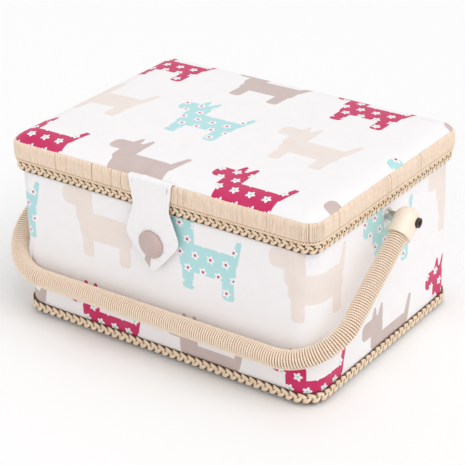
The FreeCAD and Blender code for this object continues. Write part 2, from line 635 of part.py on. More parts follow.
def make_rim():
    """The wrapped band round the lid's edge and the braid below it, parted at the hinges."""
    low = PARTING + " + dims.rim_braid_high"
    node(prism("rim_wrap_ring", lid_grow("dims.wrap_proud"), "dims.rim_high - dims.rim_braid_high",
               grow("0"), ("0", "0", low)), "rim_wrap")
    ring = prism("rim_braid_ring", lid_grow("dims.rim_braid_proud"),
                 "dims.rim_braid_high - dims.lid_gap", grow("0"), ("0", "0", LID_UNDER))
    notches = [block("braid_notch_" + side, (
        "%d * dims.hinge_at - dims.hinge_wide / 2 - dims.knuckle_gap" % sign, HALF_DEPTH, PARTING),
        ("dims.hinge_wide + 2 * dims.knuckle_gap", "dims.rim_braid_proud + 1",
         "dims.rim_braid_high")) for side, sign in HINGES.items()]
    node(cut("rim_braid_cut", ring, notches), "rim_braid")


def make_lid_lining():
    """The cloth that lines the lid's hollow and covers the rails' lower edge."""
    high = "%s - %s" % (LID_BOARD_LOW, LID_UNDER)
    outside = prism("lid_lining_out", ROOM_OUTLINE, high, at=("0", "0", LID_UNDER))
    hem = prism("lid_lining_hem", grow("0"), "dims.lining", ROOM_OUTLINE, ("0", "0", LID_UNDER))
    inside = prism("lid_lining_in", INNER_OUTLINE, high + " - dims.lining",
                   at=("0", "0", LID_UNDER))
    node(cut("lid_lining_cut", fuse("lid_lining_form", [outside, hem]), [inside]), "lid_lining")


def make_lid_fittings():
    """The pincushion and the gathered pocket inside the lid, and the tape that holds the flap."""
    ceiling = "(%s - dims.lining)" % LID_BOARD_LOW
    cushion = prism("cushion_form", ("dims.cushion_len / 2", "dims.cushion_deep / 2",
                                      "dims.cushion_round"),
                    "dims.cushion_high",
                    at=("0", "-%s / 2 - dims.pocket_at / 2" % ROOM_DEPTH,
                        ceiling + " - dims.cushion_high"))
    node(cushion, "pincushion")
    half_deep = "((%s - dims.pocket_back - dims.pocket_at) / 2)" % ROOM_DEPTH
    pocket = prism("pocket_form", (ROOM_LEN + " - dims.pocket_side", half_deep, "dims.pocket_round"),
                   "dims.pocket_high",
                   at=("0", "dims.pocket_at + " + half_deep, ceiling + " - dims.pocket_high"))
    node(pocket, "lid_pocket")
    tape_in = "%s + dims.dome_over" % HALF_DEPTH
    node(block("tape_strip", ("-dims.flap_top + dims.flap_hem",
                              "-(%s + dims.wrap_proud)" % HALF_DEPTH, RIM_TOP),
               ("2 * (dims.flap_top - dims.flap_hem)", "dims.wrap_proud - dims.dome_over",
                "dims.cover")), "flap_tape")


# ---- flap with its button ---------------------------------------------------------------------
def flap_form(name, hem, thick, y):
    """The flap's outline, in from its edge by a hem, as a flat sheet."""
    body = doc.addObject("PartDesign::Body", name)
    sketch = new_sketch(body, name + "_outline", "XZ_Plane")
    side = [("(dims.flap_top - %s)" % hem, "-" + hem),
            ("(dims.flap_neck - %s)" % hem, "-dims.flap_neck_drop"),
            ("(dims.flap_wide - %s)" % hem, "-dims.flap_wide_drop")]
    tip = [("0", "-(dims.flap_long - 1.5 * %s)" % hem)]
    outline_points(sketch, side + tip + [("-" + x, drop) for x, drop in reversed(side)])
    doc.recompute()
    pad = body.newObject("PartDesign::Pad", name + "_pad")
    pad.Profile = sketch
    pad.setExpression("Length", thick)
    return place(body, "0", y, FLAP_Z)


def button_form(name, smaller):
    """A low round button standing out from the flap."""
    form = doc.addObject("Part::Cone", name)
    form.setExpression("Radius1", "dims.button_rad - %s" % smaller)
    form.setExpression("Radius2", "dims.button_rad - dims.button_high - %s" % smaller)
    form.setExpression("Height", "dims.button_high - %s" % smaller)
    turn(form, (1, 0, 0), "90")
    return place(form, "0", "-(%s + dims.flap_thick)" % FLAP_Y, BUTTON_Z)


def make_flap():
    """The sewn flap, its stiffener, its covered button and its magnet."""
    layer = "-(%s + (dims.flap_thick - dims.stiff) / 2)" % FLAP_Y
    whole = flap_form("flap_whole", "0", "dims.flap_thick", "-" + FLAP_Y)
    room = flap_form("flap_room", "dims.flap_hem", "dims.stiff", layer)
    node(cut("flap_cover_cut", whole, [room]), "flap_cover")
    node(flap_form("stiffener_sheet", "dims.flap_hem", "dims.stiff", layer), "flap_stiffener")
    node(button_form("shell_cone", "dims.button_shell"), "button_shell")
    fabric = cut("button_cover_cut", button_form("cover_cone", "0"),
                 [button_form("cover_hollow", "dims.button_shell")])
    node(fabric, "button_cover")
    node(rod("magnet_disc", "dims.magnet_rad", "dims.magnet_high", ("0", "-" + FLAP_Y, BUTTON_Z),
             "y"), "flap_magnet")


# ---- handle -----------------------------------------------------------------------------------
ROPE_START = "(dims.cap_len - dims.socket)"


def bail_runs(name, radius):
    """The handle's run with its pivots on local X: the crossbar, two legs and two bends."""
    span = "(%s - dims.bend)" % HANDLE_HALF
    reach = "(%s - dims.bend)" % REACH
    runs = [rod(name + "_bar", radius, "2 * " + span, ("-" + span, "-" + REACH, "0"), "x")]
    for side, sign, start in (("left", "-", "180"), ("right", "", "-90")):
        runs.append(rod("%s_leg_%s" % (name, side), radius, "%s - %s" % (reach, ROPE_START),
                        (sign + HANDLE_HALF, "-" + ROPE_START, "0"), "-y"))
        corner = doc.addObject("Part::Torus", "%s_bend_%s" % (name, side))
        corner.setExpression("Radius1", "dims.bend")
        corner.setExpression("Radius2", radius)
        corner.Angle3 = 90
        turn(corner, (0, 0, 1), start)
        runs.append(place(corner, sign + span, "-" + reach, "0"))
    return runs


def lean(thing):
    """Set a handle piece on the pivots, leaning on the front of the box."""
    return place(turn(thing, (1, 0, 0), TILT), z=PIVOT)


def make_cap(side, sign):
    """A turned wooden cap: domed over its pivot, bored for the bolt, with a socket for the rope."""
    x = "%d * %s" % (sign, HANDLE_HALF)
    ball = doc.addObject("Part::Sphere", "cap_ball_" + side)
    ball.setExpression("Radius", CAP_RAD)
    place(ball, x)
    barrel = rod("cap_barrel_" + side, CAP_RAD, "dims.cap_len", (x, "0", "0"), "-y")
    faces = [rod("cap_face_%s_%s" % (side, where), "dims.head_rad + dims.face_gap",
                 "dims.face_deep + 1", ("%s %s" % (x, step), "0", "0"), "x")
             for where, step in (("plus", "+ %s - dims.face_deep" % CAP_RAD),
                                 ("minus", "- %s - 1" % CAP_RAD))]
    bore = rod("cap_bore_" + side, "dims.bolt_rad + dims.run_gap", "2 * %s + 2" % CAP_RAD,
               ("%s - %s - 1" % (x, CAP_RAD), "0", "0"), "x")
    socket = rod("cap_socket_" + side, "dims.rope_dia / 2", "dims.socket + 1",
                 (x, "-" + ROPE_START, "0"), "-y")
    form = fuse("cap_form_" + side, [ball, barrel])
    node(lean(cut("cap_cut_" + side, form, faces + [bore, socket])), "handle_cap_" + side)


def make_handle():
    """The stiff core, the cord wound round it and a wooden cap at each end."""
    node(lean(fuse("core_form", bail_runs("core", "dims.core_dia / 2"))), "handle_core")
    pairs = zip(bail_runs("wrap", "dims.rope_dia / 2"), bail_runs("hollow", "dims.core_dia / 2"))
    tubes = [cut("tube_%d" % which, outer, [inner]) for which, (outer, inner) in enumerate(pairs)]
    node(lean(fuse("wrap_form", tubes)), "handle_wrap")
    for side, sign in HINGES.items():
        make_cap(side, sign)


# ---- trays and stays --------------------------------------------------------------------------
TRAY_LEN = "((%s - dims.tray_end_gap - dims.tray_gap / 2) / 2)" % ROOM_LEN
TRAY_DEPTH = "(%s - dims.tray_gap)" % ROOM_DEPTH


def make_tray(side, sign):
    """A moulded tray with one long compartment in front and two behind."""
    x = "%d * (dims.tray_gap / 2 + %s)" % (sign, TRAY_LEN)
    floor = TRAY_REST + " + dims.tray_wall"
    round_in = "dims.tray_round - dims.tray_wall"
    outside = prism("tray_out_" + side, (TRAY_LEN, TRAY_DEPTH, "dims.tray_round"), "dims.tray_high",
                    at=(x, "0", TRAY_REST))
    front_deep = "dims.tray_front_cell / 2"
    back_deep = "(%s - 1.5 * dims.tray_wall - %s)" % (TRAY_DEPTH, front_deep)
    half_cell = "((%s - 1.5 * dims.tray_wall) / 2)" % TRAY_LEN
    back_y = "%s - dims.tray_wall - %s" % (TRAY_DEPTH, back_deep)
    cells = [("front", TRAY_LEN + " - dims.tray_wall", front_deep, x,
              "-(%s - dims.tray_wall - %s)" % (TRAY_DEPTH, front_deep))]
    for where, step in (("left", "-"), ("right", "+")):
        cells.append((where, half_cell, back_deep,
                      "%s %s (%s + dims.tray_wall / 2)" % (x, step, half_cell), back_y))
    hollows = [prism("tray_cell_%s_%s" % (side, where), (wide, deep, round_in), "dims.tray_high",
                     at=(cell_x, cell_y, floor)) for where, wide, deep, cell_x, cell_y in cells]
    node(cut("tray_cut_" + side, outside, hollows), "tray_" + side)


def stay_fold():
    """A stay ribbon's two ends and its fold, forward of and above the hinge's axis.

    The ribbon is straight when the lid stands open.  Its fold is the point of that straight
    line which, turned back by half the lid's travel, lies midway in height between the ends.
    """
    turn_back = FreeCAD.Rotation(FreeCAD.Vector(1, 0, 0), value("dims.lid_open"))
    on_box = FreeCAD.Vector(0, -value("dims.stay_box"), -value("dims.stay_fall"))
    on_lid = FreeCAD.Vector(0, -value("dims.stay_lid"), value("dims.stay_rise"))
    opened = turn_back.inverted().multVec(on_lid)
    half_back = FreeCAD.Rotation(FreeCAD.Vector(1, 0, 0), value("dims.lid_open") / 2)
    start, end = half_back.multVec(on_box), half_back.multVec(opened)
    middle = (on_box.z + on_lid.z) / 2
    share = (middle - start.z) / (end.z - start.z)
    return on_box, start + (end - start) * share, on_lid


def make_stay(side, sign):
    """A thin ribbon folded between the box and the lid."""
    half = value("dims.ribbon_thick") / 2
    spots = stay_fold()
    lift = FreeCAD.Vector(0, 0, half)
    reach = FreeCAD.Vector(0, 2 * half, 0)
    upper = [spots[0] + lift, spots[1] + reach, spots[2] + lift]
    lower = [spots[0] - lift, spots[1] - reach, spots[2] - lift]
    corners = [upper[0], lower[1], lower[2], upper[2], upper[1], lower[0]]
    face = Part.Face(Part.makePolygon(corners + corners[:1]))
    ribbon = doc.addObject("Part::Feature", "ribbon_" + side)
    ribbon.Shape = face.extrude(FreeCAD.Vector(value("dims.ribbon_wide"), 0, 0))
    near = "(%s - dims.ribbon_off - dims.ribbon_wide)" % ROOM_LEN
    x = near if sign > 0 else "-(%s + dims.ribbon_wide)" % near
    node(place(ribbon, x, HINGE_Y, HINGE_Z), "stay_ribbon_" + side)


def make_tacks(row, spot):
    """The studs that hold the ribbons' ends to one lining."""
    pieces = []
    for side, sign in HINGES.items():
        x = "%s - dims.ribbon_off" % ROOM_LEN if sign > 0 else "-%s" % ROOM_LEN
        pieces.append(rod("tack_%s_%s" % (row, side), "dims.tack_rad", "dims.ribbon_off",
                          (x, "%s + (%s)" % (HINGE_Y, spot.y), "%s + (%s)" % (HINGE_Z, spot.z)), "x"))
    node(group("stay_tacks_%s_set" % row, pieces), "stay_tacks_" + row)


def make_stays():
    """Both ribbons and their studs."""
    on_box, _, on_lid = stay_fold()
    for side, sign in HINGES.items():
        make_stay(side, sign)
    make_tacks("box", on_box)
    make_tacks("lid", on_lid)


# ---- the whole box, checked and written ---------------------------------------------------------
make_base()
make_walls()
make_box_cover()
make_base_braid()
make_ledges()
make_catch()
make_pivots()
make_hinges()
make_lid_frame()
make_lid_cover()
make_rim()
make_lid_lining()
make_lid_fittings()
make_flap()
make_handle()
for tray_side, tray_sign in HINGES.items():
    make_tray(tray_side, tray_sign)
make_stays()
doc.recompute()

for thing in doc.Objects:
    if "Invalid" in thing.State or "Error" in thing.State:
        raise RuntimeError("%s did not build: %s" % (thing.Name, thing.State))
os.makedirs("parts", exist_ok=True)
for piece in nodes:
    if piece.Shape.isNull() or not piece.Shape.isValid() or piece.Shape.Volume <= 0:
        raise RuntimeError("%s has no valid solid" % piece.Label)
    piece.Shape.exportStep("parts/%s.step" % piece.Label)
print(len(nodes), "pieces written")
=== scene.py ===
"""Looks of a fabric-covered sewing box: printed cotton, straw braid, cord handle and fittings."""
import json
import math

import bpy
import numpy as np
from mathutils import Matrix, Vector


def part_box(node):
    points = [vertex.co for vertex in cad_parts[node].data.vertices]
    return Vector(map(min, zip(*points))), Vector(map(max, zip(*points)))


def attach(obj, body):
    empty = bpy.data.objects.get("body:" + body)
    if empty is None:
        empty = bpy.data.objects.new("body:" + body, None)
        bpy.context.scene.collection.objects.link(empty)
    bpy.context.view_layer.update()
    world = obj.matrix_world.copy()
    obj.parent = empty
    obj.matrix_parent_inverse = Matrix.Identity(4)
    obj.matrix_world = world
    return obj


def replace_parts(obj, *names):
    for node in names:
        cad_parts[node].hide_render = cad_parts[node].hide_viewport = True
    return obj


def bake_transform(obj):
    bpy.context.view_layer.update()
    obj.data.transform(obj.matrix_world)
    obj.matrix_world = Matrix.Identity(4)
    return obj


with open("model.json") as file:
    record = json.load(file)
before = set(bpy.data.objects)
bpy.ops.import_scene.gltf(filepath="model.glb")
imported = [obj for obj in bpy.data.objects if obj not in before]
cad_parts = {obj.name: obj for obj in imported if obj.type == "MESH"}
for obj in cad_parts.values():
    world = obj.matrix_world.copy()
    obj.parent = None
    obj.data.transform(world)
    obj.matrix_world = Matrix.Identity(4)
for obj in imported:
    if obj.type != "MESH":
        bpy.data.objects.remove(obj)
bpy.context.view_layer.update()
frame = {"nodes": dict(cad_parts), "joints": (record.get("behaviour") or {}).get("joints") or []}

MM = 0.001


# ---- places, taken from the frame, with the two corner radii given here ----------------------
def spot(node):
    """A node's lowest and highest corners in millimetres."""
    low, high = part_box(node)
    return np.array(low) / MM, np.array(high) / MM


cover_low, cover_high = spot("body_cover")
HALF_LEN = (cover_high[0] - cover_low[0]) / 2
HALF_DEPTH = (cover_high[1] - cover_low[1]) / 2
MID_Y = (cover_high[1] + cover_low[1]) / 2
BASE, PARTING = cover_low[2], cover_high[2]
CORNER = 16.0
LID_CORNER = 9.0
wrap_low, wrap_high = spot("rim_wrap")
RIM_TOP = wrap_high[2]
BRAID_TOP = wrap_low[2]
joints = {joint["name"]: joint for joint in frame["joints"]}


# ---- camera, light and floor ------------------------------------------------------------------
def place_camera():
    """The camera, turned by its azimuth, elevation and a slight roll."""
    azimuth, elevation, roll = math.radians(36.0), math.radians(26.75), math.radians(-1.49)
    back = Vector((math.sin(azimuth) * math.cos(elevation),
                   -math.cos(azimuth) * math.cos(elevation), math.sin(elevation)))
    right = Vector((0, 0, 1)).cross(back).normalized()
    up = back.cross(right)
    right, up = (right * math.cos(roll) + up * math.sin(roll),
                 up * math.cos(roll) - right * math.sin(roll))
    lens = bpy.data.cameras.new("camera")
    lens.lens, lens.sensor_width = 126.0, 36.0
    camera = bpy.data.objects.new("camera", lens)
    turned = Matrix((right, up, back)).transposed().to_4x4()
    camera.matrix_world = Matrix.Translation((0.6383, -0.8769, 0.6100)) @ turned
    bpy.context.scene.collection.objects.link(camera)
    bpy.context.scene.camera = camera


def add_light(name, at, aim, size, power, colour=(1, 1, 1)):
    """A square soft light pointing at a place."""
    lamp = bpy.data.lights.new(name, "AREA")
    lamp.size, lamp.energy, lamp.color = size, power, colour
    made = bpy.data.objects.new(name, lamp)
    made.location = at
    made.rotation_euler = (Vector(aim) - Vector(at)).to_track_quat("-Z", "Y").to_euler()
    bpy.context.scene.collection.objects.link(made)


def light_studio():
    """A white room, with soft daylight from the right and above and a weak fill in front."""
    scene = bpy.context.scene
    scene.view_settings.view_transform = "Standard"
    world = bpy.data.worlds.new("studio")
    world.use_nodes = True
    world.node_tree.nodes["Background"].inputs["Color"].default_value = (1, 1, 1, 1)
    world.node_tree.nodes["Background"].inputs["Strength"].default_value = 0.72
    scene.world = world
    daylight = bpy.data.lights.new("daylight", "SUN")
    daylight.energy, daylight.angle = 1.15, math.radians(50)
    made = bpy.data.objects.new("daylight", daylight)
    made.rotation_euler = Vector((0.55, -0.12, 0.83)).to_track_quat("Z", "Y").to_euler()
    scene.collection.objects.link(made)
    add_light("fill", (-0.4, -1.2, 0.7), (0, 0, 0.08), 0.8, 0.8)


def lay_floor():
    """A wide pale floor."""
    bpy.ops.mesh.primitive_plane_add(size=12, location=(0, 0, 0))
    floor = bpy.context.object
    floor.name = "floor"
    pale = bpy.data.materials.new("floor_paper")
    pale.use_nodes = True
    shader = pale.node_tree.nodes["Principled BSDF"]
    shader.inputs["Base Color"].default_value = (0.96, 0.96, 0.96, 1)
    shader.inputs["Roughness"].default_value = 0.7
    floor.data.materials.append(pale)


# ---- wiring of shader nodes -------------------------------------------------------------------
def tone(red, green, blue):
    """A colour given on the usual 0 to 255 scale, made linear."""
    parts = [part / 255 for part in (red, green, blue)]
    return tuple(part / 12.92 if part <= 0.04045 else ((part + 0.055) / 1.055) ** 2.4
                 for part in parts) + (1.0,)


class Wiring:
    """Adds nodes to a tree.  A socket given as an input is linked; anything else is its value."""

    def __init__(self, tree):
        self.tree = tree

    def add(self, kind, inputs=(), output=0, **settings):
        made = self.tree.nodes.new(kind)
        for setting, value in settings.items():
            setattr(made, setting, value)
        pairs = inputs.items() if isinstance(inputs, dict) else enumerate(inputs)
        for key, value in pairs:
            if isinstance(value, bpy.types.NodeSocket):
                self.tree.links.new(value, made.inputs[key])
            elif value is not None:
                made.inputs[key].default_value = value
        return made.outputs[output]

    def math(self, operation, *values):
        return self.add("ShaderNodeMath", values, operation=operation)

    def vector(self, operation, *values):
        output = 1 if operation in ("LENGTH", "DOT_PRODUCT") else 0
        return self.add("ShaderNodeVectorMath", values, output, operation=operation)

    def scaled(self, vector, by):
        return self.add("ShaderNodeVectorMath", {0: vector, "Scale": by}, operation="SCALE")

    def mix(self, share, low, high):
        return self.add("ShaderNodeMix", {0: share, 6: low, 7: high}, 2, data_type="RGBA")

    def ramp(self, value, low, high, to_low=0.0, to_high=1.0):
        return self.add("ShaderNodeMapRange", (value, low, high, to_low, to_high),
                        interpolation_type="SMOOTHSTEP")

    def noise(self, at, scale, detail=2.0, roughness=0.5, output=0):
        return self.add("ShaderNodeTexNoise", {"Vector": at, "Scale": scale, "Detail": detail,
                                               "Roughness": roughness}, output)

    def split(self, vector):
        self.add("ShaderNodeSeparateXYZ", (vector,))
        return self.tree.nodes[-1].outputs[:]

    def join(self, x, y, z=0.0):
        return self.add("ShaderNodeCombineXYZ", (x, y, z))


def new_group(name, inputs, outputs):
    """An empty shader group, its wiring, its input sockets and its output node."""
    tree = bpy.data.node_groups.new(name, "ShaderNodeTree")
    for label, kind, value in inputs:
        socket = tree.interface.new_socket(label, in_out="INPUT", socket_type="NodeSocket" + kind)
        if value is not None:
            socket.default_value = value
    for label, kind in outputs:
        tree.interface.new_socket(label, in_out="OUTPUT", socket_type="NodeSocket" + kind)
    entry = tree.nodes.new("NodeGroupInput")
    return tree, Wiring(tree), entry.outputs, tree.nodes.new("NodeGroupOutput")


def use_group(wiring, tree, **values):
    """A group placed in another tree, with its inputs set by name."""
    made = wiring.tree.nodes.new("ShaderNodeGroup")
    made.node_tree = tree
    for label, value in values.items():
        target = made.inputs[label.replace("_", " ")]
        if isinstance(value, bpy.types.NodeSocket):
            wiring.tree.links.new(value, target)
        else:
            target.default_value = value
    return made.outputs


# ---- the print --------------------------------------------------------------------------------
def box_edge(w, at, centre, half, round_by):
    """Distance outside a round-cornered box."""
    away = w.vector("ABSOLUTE", w.vector("SUBTRACT", at, centre + (0,)))
    inner = (half[0] - round_by, half[1] - round_by, 0)
    away = w.vector("MAXIMUM", w.vector("SUBTRACT", away, inner), (0, 0, 0))
    return w.math("SUBTRACT", w.vector("LENGTH", away), round_by)


def taper_edge(w, at, start, end, thick, thin):
    """Distance outside a bar that goes from one radius to another."""
    run = (end[0] - start[0], end[1] - start[1], 0)
    away = w.vector("SUBTRACT", at, start + (0,))
    share = w.math("DIVIDE", w.vector("DOT_PRODUCT", away, run), run[0] ** 2 + run[1] ** 2)
    share = w.add("ShaderNodeClamp", (share,))
    gap = w.vector("LENGTH", w.vector("SUBTRACT", away, w.scaled(run, share)))
    return w.math("SUBTRACT", gap, w.math("MULTIPLY_ADD", share, thin - thick, thick))


def nearest(w, edges):
    """The smallest of several distances."""
    found = edges[0]
    for edge in edges[1:]:
        found = w.math("MINIMUM", found, edge)
    return found


def inside(w, edge, soft=0.25):
    """One where a distance is below zero."""
    return w.ramp(edge, soft, -soft)


def round_edge(w, at, centre, radius, squash=1.0):
    """Distance outside a round spot, or an oval one."""
    away = w.vector("MULTIPLY", w.vector("SUBTRACT", at, centre + (0,)), (1, squash, 0))
    return w.math("SUBTRACT", w.vector("LENGTH", away), radius)


def petal_edge(w, at, centre, radius, petals, depth):
    """Distance outside a flower's scalloped edge."""
    away = w.vector("SUBTRACT", at, centre + (0,))
    x, y, _ = w.split(away)
    wave = w.math("COSINE", w.math("MULTIPLY", w.math("ARCTAN2", y, x), petals))
    edge = w.math("MULTIPLY_ADD", wave, radius * depth, radius * (1 - depth))
    return w.math("SUBTRACT", w.vector("LENGTH", away), edge)


def dog_group():
    """A plain terrier shape in millimetres from its hind foot: rounded blocks, two ears, a tail."""
    tree, w, entry, leave = new_group("Terrier", [("At", "Vector", None)], [("Mask", "Float")])
    at = entry["At"]
    edges = [box_edge(w, at, centre, half, round_by) for centre, half, round_by in (
        ((-22, 25), (24, 11), 7), ((-39, 10), (5, 10), 3), ((-5, 10), (5, 10), 3),
        ((-41, 37), (8, 12), 6), ((-48, 45), (13, 7), 5))]
    edges += [taper_edge(w, at, start, end, thick, thin) for start, end, thick, thin in (
        ((-37, 48), (-35, 58), 4.0, 1.6), ((-45, 49), (-44, 58), 4.0, 1.6),
        ((0, 31), (5, 47), 3.6, 2.0))]
    w.tree.links.new(inside(w, nearest(w, edges)), leave.inputs[0])
    return tree


def scatter_group():
    """Plain cloth with small five-petal flowers in even rows, every other row moved half a step."""
    tree, w, entry, leave = new_group(
        "Flower scatter", [("At", "Vector", None), ("Cloth", "Color", None),
                           ("Petal", "Color", None), ("Heart", "Color", None)], [("Color", "Color")])
    x, y, _ = w.split(entry["At"])
    across, up = 13.0, 11.0
    odd_row = w.math("FLOORED_MODULO", w.math("FLOOR", w.math("DIVIDE", y, up)), 2.0)
    moved = w.math("MULTIPLY_ADD", odd_row, across / 2, x)
    at = w.join(w.math("SUBTRACT", w.math("FLOORED_MODULO", moved, across), across / 2),
                w.math("SUBTRACT", w.math("FLOORED_MODULO", y, up), up / 2))
    colour = w.mix(inside(w, petal_edge(w, at, (0, 0), 3.6, 5, 0.2)), entry["Cloth"], entry["Petal"])
    colour = w.mix(inside(w, round_edge(w, at, (0, 0), 1.1)), colour, entry["Heart"])
    w.tree.links.new(colour, leave.inputs[0])
    return tree


def print_group():
    """The repeating print: rows of crimson and taupe dogs between rows of blue and pale ones."""
    tree, w, entry, leave = new_group("Terrier print", [("At", "Vector", None)],
                                      [("Color", "Color")])
    x, y, _ = w.split(entry["At"])
    wide, high, hind_x, feet_y = 90.0, 81.0, 71.0, 9.0
    column, row = w.math("FLOOR", w.math("DIVIDE", x, wide)), w.math("FLOOR", w.math("DIVIDE", y, high))
    local = w.join(w.math("SUBTRACT", w.math("MULTIPLY_ADD", column, -wide, x), hind_x),
                   w.math("SUBTRACT", w.math("MULTIPLY_ADD", row, -high, y), feet_y))
    odd_column, odd_row = w.math("FLOORED_MODULO", column, 2.0), w.math("FLOORED_MODULO", row, 2.0)
    mottle = w.noise(entry["At"], 0.08, 2.0)
    taupe = w.mix(mottle, tone(199, 179, 174), tone(212, 194, 189))
    pale = w.mix(mottle, tone(236, 222, 214), tone(245, 234, 227))
    scatter = bpy.data.node_groups["Flower scatter"]
    white, pink = tone(250, 246, 248), tone(204, 34, 96)
    blue = use_group(w, scatter, At=local, Cloth=tone(182, 226, 228), Petal=white, Heart=pink)[0]
    crimson = use_group(w, scatter, At=local, Cloth=pink, Petal=white, Heart=tone(182, 226, 228))[0]
    dog = w.mix(odd_row, w.mix(odd_column, blue, pale), w.mix(odd_column, taupe, crimson))
    mask = use_group(w, bpy.data.node_groups["Terrier"], At=local)[0]
    ground = w.mix(mottle, tone(246, 242, 243), tone(250, 247, 248))
    w.tree.links.new(w.mix(mask, ground, dog), leave.inputs[0])
    return tree


# ---- surface effects shared by several materials ------------------------------------------------
def weave_group():
    """Over-and-under threads, as a height, with soft wear in the cloth."""
    tree, w, entry, leave = new_group("Plain weave", [("At", "Vector", None), ("Threads", "Float", 2.2)],
                                      [("Height", "Float"), ("Shade", "Float")])
    x, y, _ = w.split(w.scaled(entry["At"], entry["Threads"]))
    warp = w.math("SINE", w.math("MULTIPLY", x, math.pi))
    weft = w.math("SINE", w.math("MULTIPLY", y, math.pi))
    threads = w.math("MULTIPLY", warp, weft)
    slub = w.noise(entry["At"], 0.9, 3.0)
    w.tree.links.new(w.math("MULTIPLY_ADD", slub, 1.2, threads), leave.inputs[0])
    w.tree.links.new(w.ramp(w.noise(entry["At"], 0.05, 3.0), 0.3, 0.7, 0.97, 1.0), leave.inputs[1])
    return tree


def fibre_group():
    """Fine streaks that run along a strand, as a height and a light-and-dark share."""
    tree, w, entry, leave = new_group("Strand fibres", [("At", "Vector", None), ("Tight", "Float", 1.0)],
                                      [("Height", "Float"), ("Shade", "Float")])
    along = w.vector("MULTIPLY", entry["At"], (0.25, 6.0, 6.0))
    fine = w.noise(w.scaled(along, entry["Tight"]), 1.0, 4.0, 0.6)
    broad = w.noise(entry["At"], 0.22, 2.0)
    w.tree.links.new(fine, leave.inputs[0])
    w.tree.links.new(w.math("MULTIPLY_ADD", fine, 0.5, w.math("MULTIPLY", broad, 0.5)), leave.inputs[1])
    return tree


def grain_group():
    """Growth rings and pores of a pale turned wood."""
    tree, w, entry, leave = new_group("Wood grain", [("At", "Vector", None)],
                                      [("Height", "Float"), ("Shade", "Float")])
    at = w.vector("MULTIPLY", entry["At"], (1.0, 0.18, 1.0))
    bent = w.vector("ADD", at, w.scaled(w.noise(at, 0.25, 2.0, output=1), 2.5))
    rings = w.add("ShaderNodeTexWave", {"Vector": bent, "Scale": 0.35, "Distortion": 2.0,
                                        "Detail": 2.0}, 0, wave_type="RINGS")
    pores = w.noise(w.vector("MULTIPLY", entry["At"], (6, 0.7, 6)), 1.0, 3.0)
    w.tree.links.new(w.math("MULTIPLY_ADD", pores, 0.5, w.math("MULTIPLY", rings, 0.5)), leave.inputs[0])
    w.tree.links.new(w.math("MULTIPLY_ADD", rings, 0.6, w.math("MULTIPLY", pores, 0.4)), leave.inputs[1])
    return tree


def brushed_group():
    """Fine scratches and soft stains of plated metal."""
    tree, w, entry, leave = new_group("Plated metal", [("At", "Vector", None)],
                                      [("Height", "Float"), ("Shade", "Float")])
    scratch = w.noise(w.vector("MULTIPLY", entry["At"], (12, 1.2, 1.2)), 1.0, 3.0)
    stain = w.noise(entry["At"], 0.4, 3.0)
    w.tree.links.new(scratch, leave.inputs[0])
    w.tree.links.new(w.math("MULTIPLY_ADD", scratch, 0.4, w.math("MULTIPLY", stain, 0.6)), leave.inputs[1])
    return tree


def build_groups():
    """Every shared shader group, once."""
    for make in (dog_group, scatter_group, print_group, weave_group, fibre_group, grain_group,
                 brushed_group):
        make()


def new_material(name, **settings):
    """A material with its own shader, its wiring and the shader node."""
    made = bpy.data.materials.new(name)
    made.use_nodes = True
    shader = made.node_tree.nodes["Principled BSDF"]
    for label, value in settings.items():
        shader.inputs[label.replace("_", " ")].default_value = value
    return made, Wiring(made.node_tree), shader


def own_place(w):
    """A piece's own coordinates in millimetres."""
    return w.scaled(w.add("ShaderNodeTexCoord", output=3), 1 / MM)


def slanted(w, at):
    """Flat coordinates that suit a face turned any way: depth is shared between both."""
    x, y, z = w.split(at)
    depth = w.math("MULTIPLY", y, 0.71)
    return w.join(w.math("ADD", x, depth), w.math("ADD", z, depth))


def kept(w, name):
    """Coordinates stored on the mesh."""
    return w.add("ShaderNodeAttribute", output=1, attribute_name=name)


def finish(w, shader, colour, height, strength, distance, rough=None):
    """Join colour, relief and roughness to a shader."""
    w.tree.links.new(colour, shader.inputs["Base Color"])
    bump = w.add("ShaderNodeBump", {"Strength": strength, "Distance": distance * MM, "Height": height})
    w.tree.links.new(bump, shader.inputs["Normal"])
    if rough is not None:
        w.tree.links.new(rough, shader.inputs["Roughness"])


def printed_cotton():
    """The printed cotton of the box, the lid and the flap."""
    made, w, shader = new_material("printed_cotton", Roughness=0.82, Sheen_Weight=0.25,
                                   Sheen_Roughness=0.5)
    shader.inputs["Specular IOR Level"].default_value = 0.25
    weave = use_group(w, bpy.data.node_groups["Plain weave"], At=slanted(w, own_place(w)),
                      Threads=2.6)
    colour = use_group(w, bpy.data.node_groups["Terrier print"], At=kept(w, "print_at"))[0]
    shaded = w.mix(w.math("SUBTRACT", 1.0, weave["Shade"]), colour, tone(224, 218, 219))
    finish(w, shader, shaded, weave["Height"], 0.25, 0.12, w.ramp(weave["Height"], -1, 2, 0.88, 0.78))
    return made


def cloth_painted_lit_and_shaded(name, dark, light, threads=1.8, sheen=0.2, roughness=0.85):
    """A plain woven cloth in a lit and a shaded tone of one colour, mixed by thread height and noise:
    painted light on thread tops, painted shade in the weave's hollows, and random tone.
    """
    made, w, shader = new_material(name, Roughness=roughness, Sheen_Weight=sheen,
                                   Sheen_Roughness=0.5)
    shader.inputs["Specular IOR Level"].default_value = 0.25
    at = own_place(w)
    weave = use_group(w, bpy.data.node_groups["Plain weave"], At=slanted(w, at), Threads=threads)
    # painted light and shade: the shaded tone fills the weave's hollows and the lit tone the thread tops;
    # the noise adds random tone
    share = w.ramp(w.math("ADD", weave["Height"], w.noise(at, 0.12, 3.0)), -0.6, 2.4)
    finish(w, shader, w.mix(share, dark, light), weave["Height"], 0.35, 0.15)
    return made


